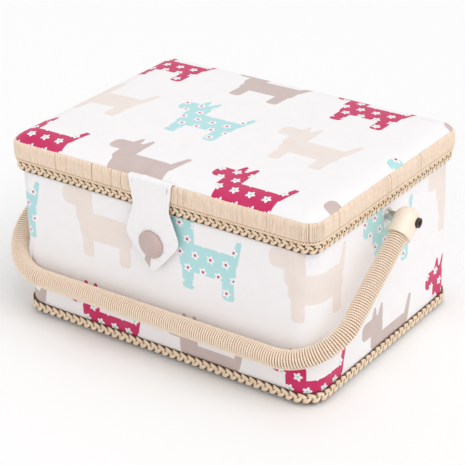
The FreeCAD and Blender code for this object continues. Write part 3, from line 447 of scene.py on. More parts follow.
def straw(name, dark, mid, light, tight=1.0, roughness=0.5):
    """Twisted paper straw: fibres along each strand, and painted shade from the stored depth share, dark in
    the gaps between strands and on their hidden sides.
    """
    made, w, shader = new_material(name, Roughness=roughness)
    at = kept(w, "strand_at")
    fibres = use_group(w, bpy.data.node_groups["Strand fibres"], At=at, Tight=tight)
    depth = w.add("ShaderNodeAttribute", output=2, attribute_name="depth")
    colour = w.mix(w.ramp(fibres["Shade"], 0.3, 0.72), mid, light)
    # painted shade: the stored depth share pulls the colour to the dark tone in gaps, under crossing
    # strands and on the dark backings
    colour = w.mix(w.ramp(depth, 0.1, 0.9), colour, dark)
    finish(w, shader, colour, fibres["Height"], 0.5, 0.25,
           w.ramp(fibres["Shade"], 0.2, 0.8, roughness + 0.14, roughness - 0.1))
    return made


def pale_wood():
    """Clear-varnished pale wood."""
    made, w, shader = new_material("pale_wood", Coat_Weight=0.3, Coat_Roughness=0.25)
    grain = use_group(w, bpy.data.node_groups["Wood grain"], At=own_place(w))
    colour = w.mix(w.ramp(grain["Shade"], 0.25, 0.8), tone(249, 238, 222), tone(243, 229, 208))
    finish(w, shader, colour, grain["Height"], 0.15, 0.1, w.ramp(grain["Shade"], 0.2, 0.8, 0.36, 0.5))
    return made


def metal(name, dark, light, roughness):
    """Plated sheet metal or turned steel."""
    made, w, shader = new_material(name, Metallic=1.0)
    plated = use_group(w, bpy.data.node_groups["Plated metal"], At=own_place(w))
    colour = w.mix(w.ramp(plated["Shade"], 0.3, 0.7), dark, light)
    finish(w, shader, colour, plated["Height"], 0.12, 0.05,
           w.ramp(plated["Shade"], 0.3, 0.7, roughness + 0.12, roughness - 0.05))
    return made


def moulded(name, dark, light, roughness, coat=0.0):
    """Moulded plastic with a faint orange-peel surface."""
    made, w, shader = new_material(name, Coat_Weight=coat, Coat_Roughness=0.2)
    at = own_place(w)
    share = w.noise(at, 0.15, 3.0)
    finish(w, shader, w.mix(share, dark, light), w.noise(at, 2.5, 2.0), 0.08, 0.08,
           w.ramp(share, 0.3, 0.7, roughness + 0.05, roughness - 0.05))
    return made


def pressed_board():
    """Raw pressed fibreboard."""
    made, w, shader = new_material("pressed_board", Roughness=0.9)
    at = own_place(w)
    flecks = w.noise(at, 1.6, 4.0, 0.7)
    finish(w, shader, w.mix(w.ramp(flecks, 0.35, 0.65), tone(126, 98, 70), tone(176, 148, 112)),
           flecks, 0.3, 0.15)
    return made


def make_materials():
    """Every finish, by the name it is used under."""
    build_groups()
    return {
        "print": printed_cotton(),
        # each cloth below gets a shaded tone and a lit tone of its colour, mixed as painted light and shade
        "lining": cloth_painted_lit_and_shaded("lining_cotton", tone(222, 208, 190), tone(244, 236, 222)),
        "pincushion": cloth_painted_lit_and_shaded("crimson_cotton", tone(178, 22, 82), tone(222, 52, 116), 2.0),
        "pocket": cloth_painted_lit_and_shaded("pocket_cotton", tone(172, 214, 218), tone(206, 236, 238), 2.0),
        "button": cloth_painted_lit_and_shaded("button_linen", tone(186, 163, 158), tone(212, 190, 185), 1.5),
        "ribbon": cloth_painted_lit_and_shaded("satin_ribbon", tone(236, 222, 204), tone(252, 242, 228), 3.5, 0.5, 0.45),
        "wadding": cloth_painted_lit_and_shaded("wadding_fleece", tone(236, 236, 232), tone(250, 250, 248), 0.6),
        "braid": straw("braid_straw", tone(92, 60, 38), tone(240, 208, 174), tone(255, 240, 216)),
        "wrap": straw("wrap_straw", tone(164, 118, 82), tone(240, 213, 188), tone(254, 238, 220), 1.4),
        "cord": straw("cord_straw", tone(212, 158, 116), tone(253, 228, 202), tone(255, 246, 232), 1.6),
        "wood": pale_wood(),
        "steel": metal("plated_steel", tone(186, 184, 180), tone(228, 226, 222), 0.36),
        "bolt": metal("blackened_steel", tone(58, 50, 46), tone(104, 94, 88), 0.4),
        "brass": metal("plated_brass", tone(170, 128, 62), tone(228, 192, 120), 0.28),
        "board": pressed_board(),
        "foot": moulded("foot_rubber", tone(34, 33, 35), tone(58, 56, 58), 0.5),
        "tray": moulded("tray_styrene", tone(236, 230, 220), tone(248, 244, 238), 0.3, 0.3),
    }


# ---- meshes -----------------------------------------------------------------------------------
def build_mesh(name, points, faces, material, stores=None, flat=False):
    """A piece from its points in millimetres, its faces and what is stored on its points."""
    mesh = bpy.data.meshes.new(name)
    mesh.from_pydata((np.asarray(points, float) * MM).tolist(), [], faces)
    mesh.materials.append(material)
    for label, values in (stores or {}).items():
        values = np.asarray(values, np.float32)
        kind, field = ("FLOAT", "value") if values.ndim == 1 else ("FLOAT_VECTOR", "vector")
        mesh.attributes.new(label, kind, "POINT").data.foreach_set(field, values.ravel())
    mesh.shade_flat() if flat else mesh.shade_smooth()
    made = bpy.data.objects.new(name, mesh)
    bpy.context.scene.collection.objects.link(made)
    return made


def sheet_faces(rows, columns, wrap_rows=False, wrap_columns=False, start=0):
    """Quads over a grid of points, joined to itself where asked."""
    row = np.arange(rows if wrap_rows else rows - 1)[:, None]
    column = np.arange(columns if wrap_columns else columns - 1)[None, :]
    below, beside = (row + 1) % rows, (column + 1) % columns
    quads = np.stack([row * columns + column, row * columns + beside,
                      below * columns + beside, below * columns + column], -1)
    return (quads.reshape(-1, 4) + start).tolist()


class Loop:
    """A rectangle with round corners, walked from the middle of its front to the right."""

    def __init__(self, out=0.0, corner=CORNER):
        self.x, self.y, self.r = HALF_LEN + out, HALF_DEPTH + out, corner + out
        self.arc = math.pi / 2 * self.r
        self.flat_x, self.flat_y = 2 * (self.x - self.r), 2 * (self.y - self.r)
        self.length = 4 * self.arc + 2 * self.flat_x + 2 * self.flat_y

    def at(self, s):
        """Places and outward directions at distances along the loop."""
        s = np.mod(np.asarray(s, float) + self.flat_x / 2, self.length)
        x, y, nx, ny = (np.zeros_like(s) for _ in range(4))
        start, inner_x, inner_y = 0.0, self.x - self.r, self.y - self.r
        for side in range(4):
            turn = side * math.pi / 2 - math.pi / 2
            out = np.array((math.cos(turn), math.sin(turn)))
            ahead = np.array((-out[1], out[0]))
            flat = self.flat_x if side % 2 == 0 else self.flat_y
            middle = out * (self.y if side % 2 == 0 else self.x)
            here = (s >= start) & (s <= start + flat)
            run = (s - start - flat / 2)
            x = np.where(here, middle[0] + ahead[0] * run, x)
            y = np.where(here, middle[1] + ahead[1] * run, y)
            nx, ny = np.where(here, out[0], nx), np.where(here, out[1], ny)
            start += flat
            here = (s > start) & (s < start + self.arc)
            angle = turn + (s - start) / self.r
            centre = (inner_x * (1, 1, -1, -1)[side], inner_y * (-1, 1, 1, -1)[side])
            x = np.where(here, centre[0] + self.r * np.cos(angle), x)
            y = np.where(here, centre[1] + self.r * np.sin(angle), y)
            nx, ny = np.where(here, np.cos(angle), nx), np.where(here, np.sin(angle), ny)
            start += self.arc
        return x, y + MID_Y, nx, ny

    def points(self, s, out, z):
        """Points a distance out from the loop and at a height."""
        x, y, nx, ny = self.at(s)
        return np.stack([x + nx * out, y + ny * out, np.broadcast_to(z, x.shape)], -1)

    def corner_gap(self, s):
        """Distance along the loop to the nearest corner's middle."""
        s = np.mod(np.asarray(s, float) + self.flat_x / 2, self.length)
        marks, start = [], 0.0
        for side in range(4):
            start += (self.flat_x if side % 2 == 0 else self.flat_y) + self.arc
            marks.append(start - self.arc / 2)
        gaps = [np.abs(np.mod(s - mark + self.length / 2, self.length) - self.length / 2)
                for mark in marks]
        return np.minimum.reduce(gaps)


def sweep(points, outward, wide, thick, sides, closed):
    """Rings of points round a line: an oval whose long axis lies across the line."""
    if closed:
        ahead = np.roll(points, -1, 0) - np.roll(points, 1, 0)
    else:
        ahead = np.gradient(points, axis=0)
    ahead /= np.linalg.norm(ahead, axis=1, keepdims=True)
    across = np.cross(ahead, outward)
    across /= np.linalg.norm(across, axis=1, keepdims=True)
    facing = np.cross(across, ahead)
    angle = np.arange(sides) * 2 * math.pi / sides
    return (points[:, None] + across[:, None] * np.cos(angle)[None, :, None] * wide / 2
            + facing[:, None] * np.sin(angle)[None, :, None] * thick / 2)


def strands(name, lines, material, closed=False, sides=6):
    """Many swept strands as one piece.  Each line is (points, outward, wide, thick, depth), depth being a
    painted-shade share.
    """
    points, faces, places, depths, start = [], [], [], [], 0
    for number, (line, outward, wide, thick, depth) in enumerate(lines):
        rings = sweep(line, outward, wide, thick, sides, closed)
        count = len(line)
        run = np.concatenate([[0], np.cumsum(np.linalg.norm(np.diff(line, axis=0), axis=1))])
        angle = np.arange(sides) * 2 * math.pi / sides
        places.append(np.stack([
            np.broadcast_to(run[:, None] + 37 * number, (count, sides)),
            np.broadcast_to(np.cos(angle) * wide / 2 + 11 * number, (count, sides)),
            np.broadcast_to(np.sin(angle) * thick / 2, (count, sides))], -1).reshape(-1, 3))
        # painted shade: each strand's inner side, turned away from its outward direction, is darkened on
        # top of the given share
        inner_side_painted_shade = np.asarray(depth)[:, None] + 0.35 * np.clip(-np.sin(angle), 0, 1)[None]
        depths.append(np.clip(inner_side_painted_shade, 0, 1).ravel())
        points.append(rings.reshape(-1, 3))
        faces += sheet_faces(count, sides, closed, True, start)
        if not closed:
            faces.append(list(range(start, start + sides))[::-1])
            faces.append(list(range(start + (count - 1) * sides, start + count * sides)))
        start += count * sides
    return build_mesh(name, np.concatenate(points), faces, material,
                      {"strand_at": np.concatenate(places), "depth": np.concatenate(depths)})


# ---- the box's covers and braids ----------------------------------------------------------------
def calm(away, near, far):
    """Zero closer than near, one further than far, smooth between."""
    share = np.clip((away - near) / (far - near), 0, 1)
    return share * share * (3 - 2 * share)


def ripple(s, z, long, seed):
    """Slow uneven waves, the same at each run."""
    picker = np.random.default_rng(seed)
    total = np.zeros(np.broadcast(s, z).shape)
    for _ in range(7):
        angle, phase = picker.uniform(0, math.pi), picker.uniform(0, 2 * math.pi)
        length = long * picker.uniform(0.6, 1.7)
        along = s * math.cos(angle) + z * math.sin(angle)
        total = total + np.sin(2 * math.pi * along / length + phase)
    return total / 7


def cover_body(materials):
    """The printed cotton round the padded walls, with a lapped seam at the middle of the back."""
    loop = Loop()
    half = loop.length / 2
    s = np.linspace(-half, half, 601)[None, :]
    rise = np.concatenate([[0, 0.8, 2.2], np.linspace(4.5, 108, 46), [110, 112, 113.4, 114.2]])
    z = (BASE + rise)[:, None]
    share = (z - BASE) / (PARTING - BASE)
    puff = 0.95 * np.sin(math.pi * np.clip(share, 0, 1)) ** 0.7
    puff = puff * (0.45 + 0.55 * calm(loop.corner_gap(s), 10, 40))
    waves = 0.32 * ripple(s, z, 55, 3) + 0.22 * ripple(s * 1.6, z * 0.5, 14, 5) * calm(z, 85, 118)
    waves += 0.22 * ripple(s * 2.0, z * 0.5, 16, 8) * (1 - calm(z, 12, 34))
    drawn = 0.34 * np.sin(s * 1.15 + 0.06 * z) * (1 - calm(loop.corner_gap(s), 6, 26)) * calm(z, 92, 118)
    side_gap = np.minimum(np.abs(s - half / 2), np.abs(s + half / 2))
    bolt_gap = np.hypot(side_gap, z - joints["handle_swing"]["pos_m"][2] / MM)
    hinge_gap = np.hypot(np.maximum(np.abs(half - np.abs(s) - 70) - 15, 0), np.maximum(103 - z, 0))
    out = (puff + waves + drawn) * calm(bolt_gap, 7, 20) * calm(hinge_gap, 2, 12) * calm(share, 0, 0.03)
    out = np.where(share > 0.985, out * 0.3, out)
    out = np.clip(out, -0.4, 1.15) + 0.35 * calm(s, half - 6, half - 4.6)
    outer = loop.points(np.broadcast_to(s, out.shape), out, np.broadcast_to(z, out.shape))
    rows = [outer]
    for inset, high in ((-0.25, 114.8), (-0.7, 115.0), (-3, 115.0), (-9.0, 115.0), (-9.8, 114.8),
                        (-9.8, 114.2), (-0.85, 114.1), (-0.85, 0.05), (-0.6, 0.0)):
        rows.append(loop.points(s, inset, BASE + high))
    points = np.concatenate(rows)
    count, columns = points.shape[:2]
    lift = np.concatenate([rise, [115.4, 116, 118, 124, 125, 126, 132, 0, 0]])
    at = np.stack([np.broadcast_to(s + 5, (count, columns)),
                   np.broadcast_to(lift[:, None] - 53, (count, columns)),
                   np.zeros((count, columns))], -1)
    faces = sheet_faces(count, columns, True, False)
    order = [row * columns for row in range(count)]
    faces += [order, [spot_at + columns - 1 for spot_at in order][::-1]]
    made = build_mesh("cover_printed_walls", points.reshape(-1, 3), faces, materials["print"],
                      {"print_at": at.reshape(-1, 3)})
    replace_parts(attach(made, "box"), "body_cover")


def plait_lines(loop, start, stop, low, high, out, count, wide, thick, step, period, rise):
    """A flat plait's strands between two heights, over and under each other."""
    steps = max(8, int(round((stop - start) / step)))
    s = np.linspace(start, stop, steps + 1)
    middle, swing = (low + high) / 2, (high - low - wide * 0.8) / 2
    lines = []
    for strand in range(count):
        turn = 2 * math.pi * (s / period + strand / count)
        wave = np.sin(turn) + 0.1 * np.sin(3 * turn)
        lift = rise * np.sin((count - 1) * (turn - math.pi / 2))
        for ply in (-1, 0, 1):
            z = middle + swing * wave + ply * wide * 0.33 + 0.12 * ripple(s, 7.0 * ply, 9, 20 + strand)
            line = loop.points(s, out + lift, z)
            _, _, nx, ny = loop.at(s)
            outward = np.stack([nx, ny, np.zeros_like(nx)], -1)
            # painted shade: strands that dip under their neighbours get a larger dark share
            depth = 0.95 * np.clip(0.5 - 0.6 * lift / rise, 0, 1) ** 1.6
            lines.append((line, outward, wide * 0.37, thick, depth))
    return lines


def twist_lines(loop, start, stop, z, out, radius, period, wide, step=0.5):
    """Two thin straws twisted round each other along a line."""
    s = np.linspace(start, stop, max(8, int(round((stop - start) / step))) + 1)
    _, _, nx, ny = loop.at(s)
    outward = np.stack([nx, ny, np.zeros_like(nx)], -1)
    lines = []
    for phase in (0, math.pi):
        turn = 2 * math.pi * s / period + phase
        line = loop.points(s, out + radius * np.cos(turn), z + radius * np.sin(turn))
        # painted shade: the ply turned in towards the box gets a larger dark share
        depth = np.clip(0.35 - 0.75 * np.cos(turn), 0, 0.95)
        lines.append((line, outward, wide, wide, depth))
    return lines


def band(name, loop, start, stop, profile, material, depth, step=2.0):
    """A solid strip along the loop with a given cross-section, its points all given one painted-shade
    share.
    """
    s = np.linspace(start, stop, max(4, int(round((stop - start) / step))) + 1)
    rows = np.stack([loop.points(s, out, z) for out, z in profile])
    count, columns = rows.shape[:2]
    closed = abs(stop - start - loop.length) < 0.01
    faces = sheet_faces(count, columns, True, False)
    if not closed:
        order = [row * columns for row in range(count)]
        faces += [order, [first + columns - 1 for first in order][::-1]]
    at = np.stack([np.broadcast_to(s, (count, columns)), rows[..., 2],
                   np.zeros((count, columns))], -1).reshape(-1, 3)
    return build_mesh(name, rows.reshape(-1, 3), faces, material,
                      {"strand_at": at, "depth": np.full(count * columns, depth)})


def join(first, others):
    """Several pieces made one."""
    bpy.ops.object.select_all(action="DESELECT")
    for piece in [first] + list(others):
        piece.select_set(True)
    bpy.context.view_layer.objects.active = first
    bpy.ops.object.join()
    return first


def braid_base(materials):
    """The plaited straw round the foot of the box."""
    loop = Loop(1.6)
    period = loop.length / round(loop.length / 20.0)
    lines = plait_lines(loop, 0, loop.length, 3.3, 10.5, 0.0, 3, 2.9, 1.0, 0.8, period, 0.6)
    made = strands("braid_foot", lines, materials["braid"])
    # painted shade: the backing behind the plait is given the full dark share
    backing = band("braid_foot_core", loop, 0, loop.length,
                   ((-1.6, 3.1), (-0.5, 3.1), (-0.4, 5), (-0.4, 8.5), (-0.5, 10.2), (-1.6, 10.2)),
                   materials["braid"], 1.0)
    join(made, [backing])
    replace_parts(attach(made, "box"), "base_braid")


def braid_rim(materials):
    """The plait and the twisted cord under the wound rim, parted round each hinge."""
    loop = Loop(0.9, LID_CORNER)
    half = loop.length / 2
    notch_in, notch_out = 54.4, 85.6
    low = spot("rim_braid")[0][2] + 0.1
    plait_low = low + 0.8
    lines, backings = [], []
    for number, (start, stop) in enumerate(((notch_out - half, half - notch_out),
                                            (half - notch_in, half + notch_in))):
        lines += plait_lines(loop, start, stop, plait_low, low + 7.2, 0.2, 3, 2.3, 0.9, 0.7, 18.0, 0.55)
        lines += twist_lines(loop, start, stop, low + 8.5, 0.75, 0.72, 3.8, 1.4, 0.4)
        # painted shade: the backing behind the plait and cord is given the full dark share
        backings.append(band("braid_rim_core_%d" % number, loop, start, stop,
                             ((-0.9, low), (-0.45, low), (-0.4, low + 2), (-0.4, BRAID_TOP),
                              (-0.9, BRAID_TOP)), materials["braid"], 1.0))
    made = strands("braid_rim", lines, materials["braid"])
    join(made, backings)
    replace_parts(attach(made, "lid"), "rim_braid")


def wrap_rim(materials):
    """The band wound with fine straw, rolled over the rim's top edge."""
    loop = Loop(3.0, LID_CORNER)
    picker = np.random.default_rng(11)
    count = int(loop.length / 1.02)
    widths = picker.uniform(0.97, 1.05, count)
    gaps = picker.choice(count, 9, replace=False)
    widths[gaps] += picker.uniform(0.3, 0.7, 9)
    widths[loop.corner_gap(np.cumsum(widths) / widths.sum() * loop.length) < 8] *= 1.18
    places = np.cumsum(widths) / widths.sum() * loop.length
    profile = np.array(((-1.4, 0.1), (-0.35, 0.35), (0.0, 1.2), (0.1, 3.0), (0.14, 5.5),
                        (0.14, 8.0), (0.05, 10.0), (-0.25, 11.3), (-0.95, 12.4),
                        (-1.8, 12.85), (-2.7, 12.9)))
    profile[:, 1] += BRAID_TOP
    share = np.linspace(0, 1, len(profile))
    lines = []
    for place in places:
        bow = picker.normal(0, 0.03, 2)
        s = place + picker.normal(0, 0.02) + bow[0] * share + bow[1] * np.sin(math.pi * share)
        raised = profile[:, 0] + picker.normal(0, 0.06) * np.sin(math.pi * share)
        x, y, nx, ny = loop.at(s)
        line = np.stack([x + nx * raised, y + ny * raised, profile[:, 1]], -1)
        outward = np.stack([nx * 0.8, ny * 0.8, 0.6 * share], -1)
        # a random dark share per straw (random tone), plus painted shade at each straw's tucked lower end
        depth = np.clip(0.12 + picker.normal(0, 0.1) + 0.5 * (share < 0.1), 0, 0.8) * np.ones(len(share))
        lines.append((line, outward, 1.08, 0.8, depth))
    made = strands("wrap_rim_straws", lines, materials["wrap"])
    # painted shade: the backing under the wound straws is given a 0.8 dark share
    backing = band("wrap_rim_core", loop, 0, loop.length,
                   [(out, BRAID_TOP + high) for out, high in (
                       (-2.9, 0.1), (-0.5, 0.2), (-0.2, 1.5), (-0.1, 6), (-0.2, 9.5), (-0.6, 11.3),
                       (-1.3, 12.3), (-2.9, 12.6))], materials["wrap"], 0.8)
    join(made, [backing])
    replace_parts(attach(made, "lid"), "rim_wrap")


# ---- the lid's padded top -----------------------------------------------------------------------
def round_gap(x, y, half_x, half_y, radius):
    """Distance inside a rectangle with round corners."""
    over_x, over_y = np.abs(x) - half_x + radius, np.abs(y) - half_y + radius
    outside = np.hypot(np.maximum(over_x, 0), np.maximum(over_y, 0))
    return radius - outside - np.minimum(np.maximum(over_x, over_y), 0)


def cover_lid(materials):
    """The printed cotton drawn over the lid's wadding, gathered a little at its corners."""
    _, high = spot("lid_cover")
    loop = Loop(high[0] - HALF_LEN, LID_CORNER)
    s = np.linspace(0, loop.length, 481)[:-1]
    x, y, _, _ = loop.at(s)
    shares = np.concatenate([[0, 0.003, 0.007, 0.012, 0.018, 0.026], np.linspace(0.038, 0.97, 46)])
    scale = (1 - shares)[:, None]
    px, py = x * scale, (y - MID_Y) * scale
    inset = round_gap(px, py, loop.x, loop.y, loop.r)
    crown = 5.7 * (1 - np.exp(-np.clip(inset, 0, None) / 5.2))
    crown += 1.35 * (1 - (px / loop.x) ** 2) * (1 - (py / loop.y) ** 2)
    corner = loop.corner_gap(s)[None, :]
    gather = 0.3 * np.sin(s * 1.25)[None, :] * (1 - calm(corner, 5, 26))
    gather = gather * np.exp(-inset / 9) * calm(inset, 0, 1.5)
    waves = (0.35 * ripple(px, py, 70, 21) + 0.1 * ripple(px, py, 22, 22)) * calm(inset, 2, 20)
    waves += 0.12 * ripple(s[None, :] * 1.5, inset * 0.4, 12, 23) * np.exp(-inset / 12) * calm(inset, 0, 2)
    z = RIM_TOP + 0.15 + crown + gather + waves
    top = np.stack([px, py + MID_Y, z], -1)
    rows = [loop.points(s, -4.0, RIM_TOP + 0.05)[None], loop.points(s, -0.1, RIM_TOP + 0.05)[None],
            top]
    points = np.concatenate(rows)
    count, columns = points.shape[:2]
    faces = sheet_faces(count, columns, False, True)
    faces.append([(count - 1) * columns + column for column in range(columns)])
    faces.append(list(range(columns))[::-1])
    flat = points.reshape(-1, 3)
    at = np.stack([flat[:, 0] + 66, flat[:, 1] - MID_Y + 43, np.zeros(len(flat))], -1)
    made = build_mesh("cover_printed_lid", flat, faces, materials["print"], {"print_at": at})
    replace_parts(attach(made, "lid"), "lid_cover", "lid_pad")


# ---- flap and button ------------------------------------------------------------------------------
def flap_half(drop):
    """The flap's half width below its fold."""
    places = (-4, 0, 10, 20.5, 32, 42.5, 48, 56, 64, 68, 69.5)
    halves = (19.2, 18.8, 17.0, 15.3, 19.6, 23.2, 21.0, 13.8, 6.4, 2.6, 0.4)
    fine = np.interp(drop, places, halves)
    soft = np.mean([np.interp(drop + shift, places, halves) for shift in (-2.4, -1.2, 0, 1.2, 2.4)], 0)
    return np.where(np.asarray(drop) > 65, fine, soft)


def make_flap(materials):
    """The sewn flap, from the lid cover's edge over the rim and down to its tip."""
    low, high = spot("flap_cover")
    fold_z, inner_y = high[2], high[1]
    middle_y = (low[1] + high[1]) / 2
    edge_y = spot("lid_cover")[0][1]
    bend = [(edge_y + 1.2, fold_z + 0.1), (edge_y - 0.6, fold_z + 0.65),
            (inner_y + 0.3, fold_z + 0.95), (inner_y - 0.75, fold_z + 0.5),
            (inner_y - 1.3, fold_z - 0.6), (middle_y - 0.1, fold_z - 2.2)]
    drops = np.concatenate([np.linspace(4, 64, 46), [65.5, 67, 68.2, 69.1, 69.5]])
    path = np.array(bend + [(middle_y, fold_z - drop) for drop in drops])
    fall = fold_z - path[:, 1]
    fall[:3] = (-3.5, -2.0, -0.8)
    ahead = np.gradient(path, axis=0)
    ahead /= np.linalg.norm(ahead, axis=1, keepdims=True)
    out_y, out_z = ahead[:, 1], -ahead[:, 0]
    turn = np.linspace(0, 2 * math.pi, 65)[:-1]
    across = np.sign(np.cos(turn)) * np.abs(np.cos(turn)) ** 0.7
    along = np.sign(np.sin(turn)) * np.abs(np.sin(turn)) ** 0.42
    half = flap_half(fall)
    thick = np.interp(fall, (-4, 0, 6, 24, 60, 69.5), (0.5, 0.55, 0.8, 1.15, 1.15, 0.6))
    x = across[None, :] * half[:, None]
    edge = half[:, None] - np.abs(x)
    depth = thick[:, None] * along[None, :]
    outer = (along[None, :] > 0.3)
    depth = depth - 0.28 * np.exp(-((edge - 3.0) / 0.5) ** 2) * outer
    pleat = np.exp(-((x + 6.5 + 0.06 * fall[:, None]) / 2.2) ** 2) - 0.25 * np.exp(-((x + 10.5) / 1.6) ** 2)
    depth = depth + 0.55 * pleat * (1 - calm(fall, 8, 30))[:, None] * outer
    fan = np.hypot(x, fall[:, None] - 48)
    depth = depth + 0.35 * np.sin(np.arctan2(fall[:, None] - 48, x + 0.001) * 9) * np.exp(
        -((fan - 13) / 3.5) ** 2) * outer
    depth = depth + 0.25 * ripple(x, fall[:, None], 13, 31) * outer * calm(edge, 0, 5)
    y = path[:, 0][:, None] + out_y[:, None] * depth
    z = path[:, 1][:, None] + out_z[:, None] * depth
    points = np.stack([x, y, z], -1)
    count, columns = points.shape[:2]
    faces = sheet_faces(count, columns, False, True)
    faces += [list(range(columns))[::-1], [(count - 1) * columns + column for column in range(columns)]]
    lift = np.minimum(fold_z - fall + 49, 150)
    at = np.stack([x + 78, np.broadcast_to(lift[:, None], x.shape), np.zeros_like(x)],
                  -1).reshape(-1, 3)
    made = build_mesh("flap_printed", points.reshape(-1, 3), faces, materials["print"],
                      {"print_at": at})
    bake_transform(made)
    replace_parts(made, "flap_cover")


def cover_button(materials):
    """The cloth gathered over the domed button, with fine puckers at its rim."""
    low, high = spot("button_cover")
    centre_z, back_y = (low[2] + high[2]) / 2, high[1]
    radius, rise = (high[0] - low[0]) / 2, high[1] - low[1]
    turn = np.linspace(0, 2 * math.pi, 97)[:-1][None, :]
    share = np.concatenate([[0.9, 0.985, 1.0], np.linspace(0.985, 0.03, 20)])[:, None]
    front = np.arange(len(share))[:, None] > 2
    height = rise * np.clip(1 - share ** 2.6, 0, 1) ** 0.62
    height = np.where(front, height, np.array([-0.2, 0.0, 0.9] + [0] * 20)[:, None])
    pucker = 0.16 * np.sin(turn * 19 + 0.8 * np.sin(turn * 3)) * calm(share, 0.55, 1.0)
    height = height + pucker * front
    points = np.stack([share * radius * np.cos(turn), back_y - height + 0 * turn,
                       centre_z + share * radius * np.sin(turn)], -1)
    count, columns = points.shape[:2]
    faces = sheet_faces(count, columns, False, True)
    faces += [list(range(columns))[::-1], [(count - 1) * columns + column for column in range(columns)]]
    made = build_mesh("button_covered", points.reshape(-1, 3), faces, materials["button"])
    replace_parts(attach(made, "flap"), "button_cover", "button_shell")


# ---- handle ---------------------------------------------------------------------------------------
def wind_handle(materials):
    """Cord wound in tight turns round the handle, from one wooden cap to the other."""
    low, high = spot("handle_wrap")
    pivot = np.array(joints["handle_swing"]["pos_m"]) / MM
    rope = 7.0
    bar = np.array((low[1] + rope, low[2] + rope)) - pivot[1:]
    reach, ahead = float(np.hypot(*bar)), bar / np.hypot(*bar)
    span, bend, start = high[0] - rope, 42.0, 10.5
    leg, cross, arc = reach - bend - start, 2 * (span - bend), math.pi / 2 * bend
    total = 2 * leg + cross + 2 * arc
    pitch, sides = 1.9, 64
    turns = int(total / pitch)
    run = np.linspace(0.3, total - 0.3, turns * sides)
    mirrored = np.where(run > total / 2, total - run, run)
    angle = np.clip((mirrored - leg) / bend, 0, math.pi / 2)
    down = np.where(mirrored < leg, start + mirrored, start + leg + bend * np.sin(angle))
    side = np.where(mirrored < leg, span, span - bend * (1 - np.cos(angle)))
    side = np.where(mirrored > leg + arc, span - bend - (mirrored - leg - arc), side)
    heading = np.stack([-np.sin(angle), np.cos(angle)], -1)
    flip = np.where(run > total / 2, -1.0, 1.0)
    side, tangent = side * -flip, heading * np.stack([-np.ones_like(flip), flip], -1)
    normal = np.stack([-tangent[:, 1], tangent[:, 0]], -1)

    def placed(across, along, off):
        """A point of the handle's own plane, and off it, put in the frame."""
        return np.stack([across, pivot[1] + ahead[0] * along - ahead[1] * off,
                         pivot[2] + ahead[1] * along + ahead[0] * off], -1)

    def turned(across, along, off):
        return placed(across, along, off) - placed(np.zeros_like(off), np.zeros_like(off),
                                                   np.zeros_like(off))

    picker = np.random.default_rng(5)
    phase = 2 * math.pi * turns * (run - run[0]) / (run[-1] - run[0])
    uneven = 0.07 * np.interp(run, np.linspace(0, total, 90), picker.normal(0, 1, 90))
    out = rope - 0.72 + uneven
    radial = turned(normal[:, 0] * np.cos(phase), normal[:, 1] * np.cos(phase), np.sin(phase))
    line = placed(side, down, np.zeros_like(side)) + radial * out[:, None]
    middle = placed(side, down, np.zeros_like(side))
    made = twisted_strand("handle_cord_winding", line, radial, 0.42, 1.02, 3.3, materials["cord"])
    few = slice(None, None, sides)
    # painted shade: the core under the winding is given a 0.55 dark share
    core = strands("handle_cord_core", [(middle[few], turned(*(np.zeros_like(side[few]),) * 2 + (
        np.ones_like(side[few]),)), 2 * (rope - 1.0), 2 * (rope - 1.0),
        np.full(len(side[few]), 0.55))], materials["cord"])
    join(made, [core])
    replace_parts(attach(made, "handle"), "handle_wrap")


def twisted_strand(name, line, outward, off, wide, period, material):
    """Two plies twisted round each other along a line."""
    run = np.concatenate([[0], np.cumsum(np.linalg.norm(np.diff(line, axis=0), axis=1))])
    ahead = np.gradient(line, axis=0)
    ahead /= np.linalg.norm(ahead, axis=1, keepdims=True)
    across = np.cross(ahead, outward)
    across /= np.linalg.norm(across, axis=1, keepdims=True)
    facing = np.cross(across, ahead)
    lines = []
    for phase in (0, math.pi):
        turn = 2 * math.pi * run / period + phase
        ply = line + off * (across * np.cos(turn)[:, None] + facing * np.sin(turn)[:, None])
        # painted shade: each ply turned in towards the handle's core gets a larger dark share
        depth = np.clip(0.3 - 0.55 * np.sin(turn), 0, 0.85)
        lines.append((ply, outward, wide, wide, depth))
    return strands(name, lines, material, sides=5)


# ---- inside -----------------------------------------------------------------------------------
def swell_cloth(made, pressure, limit, frames=20):
    """Blow a closed piece up with the cloth solver, then keep its shape."""
    before = np.array([vertex.co for vertex in made.data.vertices])
    cloth = made.modifiers.new("cloth", "CLOTH")
    cloth.settings.use_pressure = True
    cloth.settings.uniform_pressure_force = pressure
    cloth.settings.effector_weights.gravity = 0
    cloth.settings.mass = 0.3
    cloth.settings.tension_stiffness = 12
    cloth.settings.compression_stiffness = 12
    cloth.settings.bending_stiffness = 0.4
    for number in range(1, frames + 1):
        bpy.context.scene.frame_set(number)
    graph = bpy.context.evaluated_depsgraph_get()
    blown = made.evaluated_get(graph).to_mesh()
    after = np.array([vertex.co for vertex in blown.vertices])
    made.modifiers.clear()
    moved = after - before
    far = np.linalg.norm(moved, axis=1, keepdims=True)
    moved *= np.minimum(1, limit * MM / np.maximum(far, 1e-9))
    made.data.vertices.foreach_set("co", (before + moved).astype(np.float32).ravel())
    bpy.context.scene.frame_set(1)
    return made


def closed_cloth(name, under, over, rows, columns, material):
    """A closed piece from two grids of points, joined round their edge."""
    size = rows * columns
    faces = sheet_faces(rows, columns)
    upper = [[index + size for index in face[::-1]] for face in faces]
    ring = (list(range(columns)) + [row * columns + columns - 1 for row in range(1, rows)]
            + [(rows - 1) * columns + column for column in range(columns - 2, -1, -1)]
            + [row * columns for row in range(rows - 2, 0, -1)])
    side = [[ring[index - 1], ring[index - 1] + size, ring[index] + size, ring[index]][::-1]
            for index in range(len(ring))]
    return build_mesh(name, np.concatenate([under, over]), faces + upper + side, material)


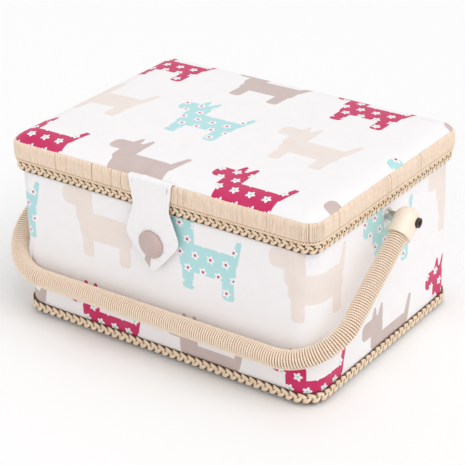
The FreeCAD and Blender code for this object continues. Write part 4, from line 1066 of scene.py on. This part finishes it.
def stuff_pincushion(materials):
    """The stuffed pincushion under the lid, gathered at its middle by a tuft."""
    low, high = spot("pincushion")
    middle, half = (low + high) / 2, (high - low) / 2
    columns, rows = 60, 32
    u = np.linspace(-1, 1, columns)[None, :]
    v = np.linspace(-1, 1, rows)[:, None]
    bow = 1 - 0.05 * (1 - np.abs(u) ** 3) * np.abs(v) ** 3
    px = half[0] * u * (1 - 0.03 * (1 - v ** 2) * np.abs(u) ** 3)
    py = half[1] * v * bow
    edge = np.clip(np.minimum((1 - np.abs(u)) * half[0], (1 - np.abs(v)) * half[1]), 0, None)
    crown = (1 - np.exp(-edge / 6.5)) * 9.6
    tuft = np.exp(-((px / 6) ** 2 + (py / 6) ** 2))
    spokes = 0.35 * np.cos(8 * np.arctan2(py, px)) * np.exp(-np.hypot(px, py) / 14)
    crown = crown - 3.6 * tuft + spokes * (1 - tuft)
    crown += 0.35 * np.sin(px * 0.9) * np.exp(-((1 - np.abs(v)) * half[1]) / 6) * np.minimum(edge, 1)
    crown += 0.35 * np.sin(py * 0.9) * np.exp(-((1 - np.abs(u)) * half[0]) / 6) * np.minimum(edge, 1)
    crown = np.clip(crown, 0, None)
    under = np.stack([px + middle[0], py + middle[1], high[2] - 0.9 - crown], -1).reshape(-1, 3)
    over = np.stack([px + middle[0], py + middle[1], np.full_like(px, high[2] - 0.05)], -1)
    over = over.reshape(-1, 3)
    made = closed_cloth("pincushion_stuffed", under, over, rows, columns, materials["pincushion"])
    swell_cloth(made, 2.5, 1.2)
    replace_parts(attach(made, "lid"), "pincushion")
    turn = np.linspace(0, 2 * math.pi, 33)[:-1][None, :]
    share = np.array([0.05, 0.4, 0.7, 0.9, 1.0, 0.9])[:, None]
    drop = np.array([2.2, 2.05, 1.6, 0.9, 0.2, -0.5])[:, None]
    level = high[2] - 0.9 - 9.6 + 3.6
    points = np.stack([middle[0] + 5 * share * np.cos(turn), middle[1] + 5 * share * np.sin(turn),
                       level - drop + 0.12 * np.sin(turn * 9) * share], -1)
    faces = sheet_faces(6, 32, False, True) + [list(range(32)), list(range(160, 192))[::-1]]
    tuft_button = build_mesh("pincushion_tuft", points.reshape(-1, 3), faces, materials["button"])
    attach(tuft_button, "lid")


def gather_pocket(materials):
    """The lid's gathered pocket: a full cloth drawn in at its mouth by an elastic hem."""
    low, high = spot("lid_pocket")
    middle, half = (low + high) / 2, (high - low) / 2
    columns, rows = 260, 40
    u = np.linspace(-1, 1, columns)[None, :]
    v = np.linspace(0, 1, rows)[:, None]
    px = middle[0] + half[0] * u + 0 * v
    py = low[1] + (high[1] - low[1]) * v + 0 * u
    ends = calm(1 - np.abs(u), 0, 0.05)
    body = 1.1 + 2.4 * np.sin(math.pi * np.clip(v, 0, 1)) ** 0.8
    drawn_in = np.exp(-v * 5.5) + 0.7 * np.exp((v - 1) * 7)
    folds = 0.75 * np.sin(px * 0.95 + 0.7 * np.sin(px * 0.13)) * drawn_in
    folds = folds + 0.5 * ripple(px, py * 0.35, 22, 41)
    hem = np.where((v < 0.1), 0.35, 0.0) * np.cos((v - 0.05) * 30)
    drop = (body + folds + hem) * ends * calm(1 - v, 0, 0.06) + 0.3
    drop = np.clip(drop, 0.3, 4.6)
    under = np.stack([px, py, high[2] - drop], -1).reshape(-1, 3)
    over = np.stack([px, py, high[2] - np.clip(drop - 0.5, 0.02, None)], -1).reshape(-1, 3)
    made = closed_cloth("lid_pocket_gathered", under, over, rows, columns, materials["pocket"])
    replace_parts(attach(made, "lid"), "lid_pocket")


def hang_ribbon(materials, side):
    """A stay ribbon between the box and the lid, folded while the lid is shut."""
    low, high = spot("stay_ribbon_" + side)
    axis = np.array(joints["lid_hinge"]["pos_m"])[1:] / MM
    opened = math.radians(105)
    on_box, on_lid = np.array((-56.8, -7.8)), np.array((-66.8, 12.2))

    def turned(spot_at, angle):
        """A place turned back with the lid, seen from the right."""
        c, s = math.cos(-angle), math.sin(-angle)
        return np.array((spot_at[0] * c - spot_at[1] * s, spot_at[0] * s + spot_at[1] * c))

    far = turned(on_lid, opened)
    rows = []
    for height in np.linspace(on_box[1], on_lid[1], 41):
        share = (height - on_box[1]) / (on_lid[1] - on_box[1])
        weight = share * share * (3 - 2 * share)
        lower, upper = 0.0, 1.0
        for _ in range(40):
            middle = (lower + upper) / 2
            back = turned(on_box + (far - on_box) * middle, -opened * weight)
            lower, upper = (middle, upper) if back[1] < height else (lower, middle)
        rows.append(turned(on_box + (far - on_box) * lower, -opened * weight))
    line = np.array(rows)
    ahead = np.gradient(line, axis=0)
    ahead /= np.linalg.norm(ahead, axis=1, keepdims=True)
    normal = np.stack([-ahead[:, 1], ahead[:, 0]], -1)
    across = np.linspace(low[0], high[0], 9)
    rings = []
    for number, place in enumerate(line):
        ring = []
        for sign_out in (0.22, -0.22):
            order = across if sign_out > 0 else across[::-1]
            for x in order:
                rim = 1 - 0.35 * (abs(x - (low[0] + high[0]) / 2) > 2.2)
                y, z = axis + place + normal[number] * sign_out * rim
                ring.append((x, y, z))
        rings.append(ring)
    points = np.array(rings).reshape(-1, 3)
    columns = len(rings[0])
    faces = sheet_faces(len(rings), columns, False, True)
    faces += [list(range(columns))[::-1],
              [(len(rings) - 1) * columns + column for column in range(columns)]]
    made = build_mesh("stay_ribbon_satin_" + side, points, faces, materials["ribbon"])
    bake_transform(made)
    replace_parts(made, "stay_ribbon_" + side)


def line_box(materials):
    """Woven cotton on the two linings, which keep their plain shape."""
    for name in ("box_lining", "lid_lining"):
        node = frame["nodes"][name]
        node.data.materials.clear()
        node.data.materials.append(materials["lining"])


# ---- finishes for the pieces that stay as they are -----------------------------------------------
FINISHES = {
    "board": ("front_board", "back_board", "left_board", "right_board", "base_board", "lid_board",
              "lid_rail_front", "lid_rail_back", "lid_rail_left", "lid_rail_right",
              "flap_stiffener"),
    "wadding": ("front_pad", "back_pad", "left_pad", "right_pad"),
    "lining": ("base_cloth", "flap_tape"),
    "wood": ("front_ledge", "back_ledge", "handle_cap_left", "handle_cap_right", "handle_core"),
    "bolt": ("pivot_bolts",),
    "steel": ("catch_plate", "pivot_spacers", "pivot_washers", "pivot_nuts",
              "flap_magnet"),
    "brass": ("hinge_box_leaf_left", "hinge_box_leaf_right", "hinge_lid_leaf_left",
              "hinge_lid_leaf_right", "hinge_pin_left", "hinge_pin_right", "hinge_screws_box",
              "hinge_screws_lid", "stay_tacks_box", "stay_tacks_lid"),
    "foot": ("foot_front_left", "foot_front_right", "foot_back_left", "foot_back_right"),
    "tray": ("tray_left", "tray_right"),
}


def finish_nodes(materials):
    """Give each kept piece its finish."""
    for finish_name, names in FINISHES.items():
        for name in names:
            mesh = frame["nodes"][name].data
            mesh.materials.clear()
            mesh.materials.append(materials[finish_name])


place_camera()
light_studio()
lay_floor()
finishes = make_materials()
finish_nodes(finishes)
line_box(finishes)
cover_body(finishes)
braid_base(finishes)
braid_rim(finishes)
wrap_rim(finishes)
cover_lid(finishes)
make_flap(finishes)
cover_button(finishes)
wind_handle(finishes)
stuff_pincushion(finishes)
gather_pocket(finishes)
for stay_side in ("left", "right"):
    hang_ribbon(finishes, stay_side)
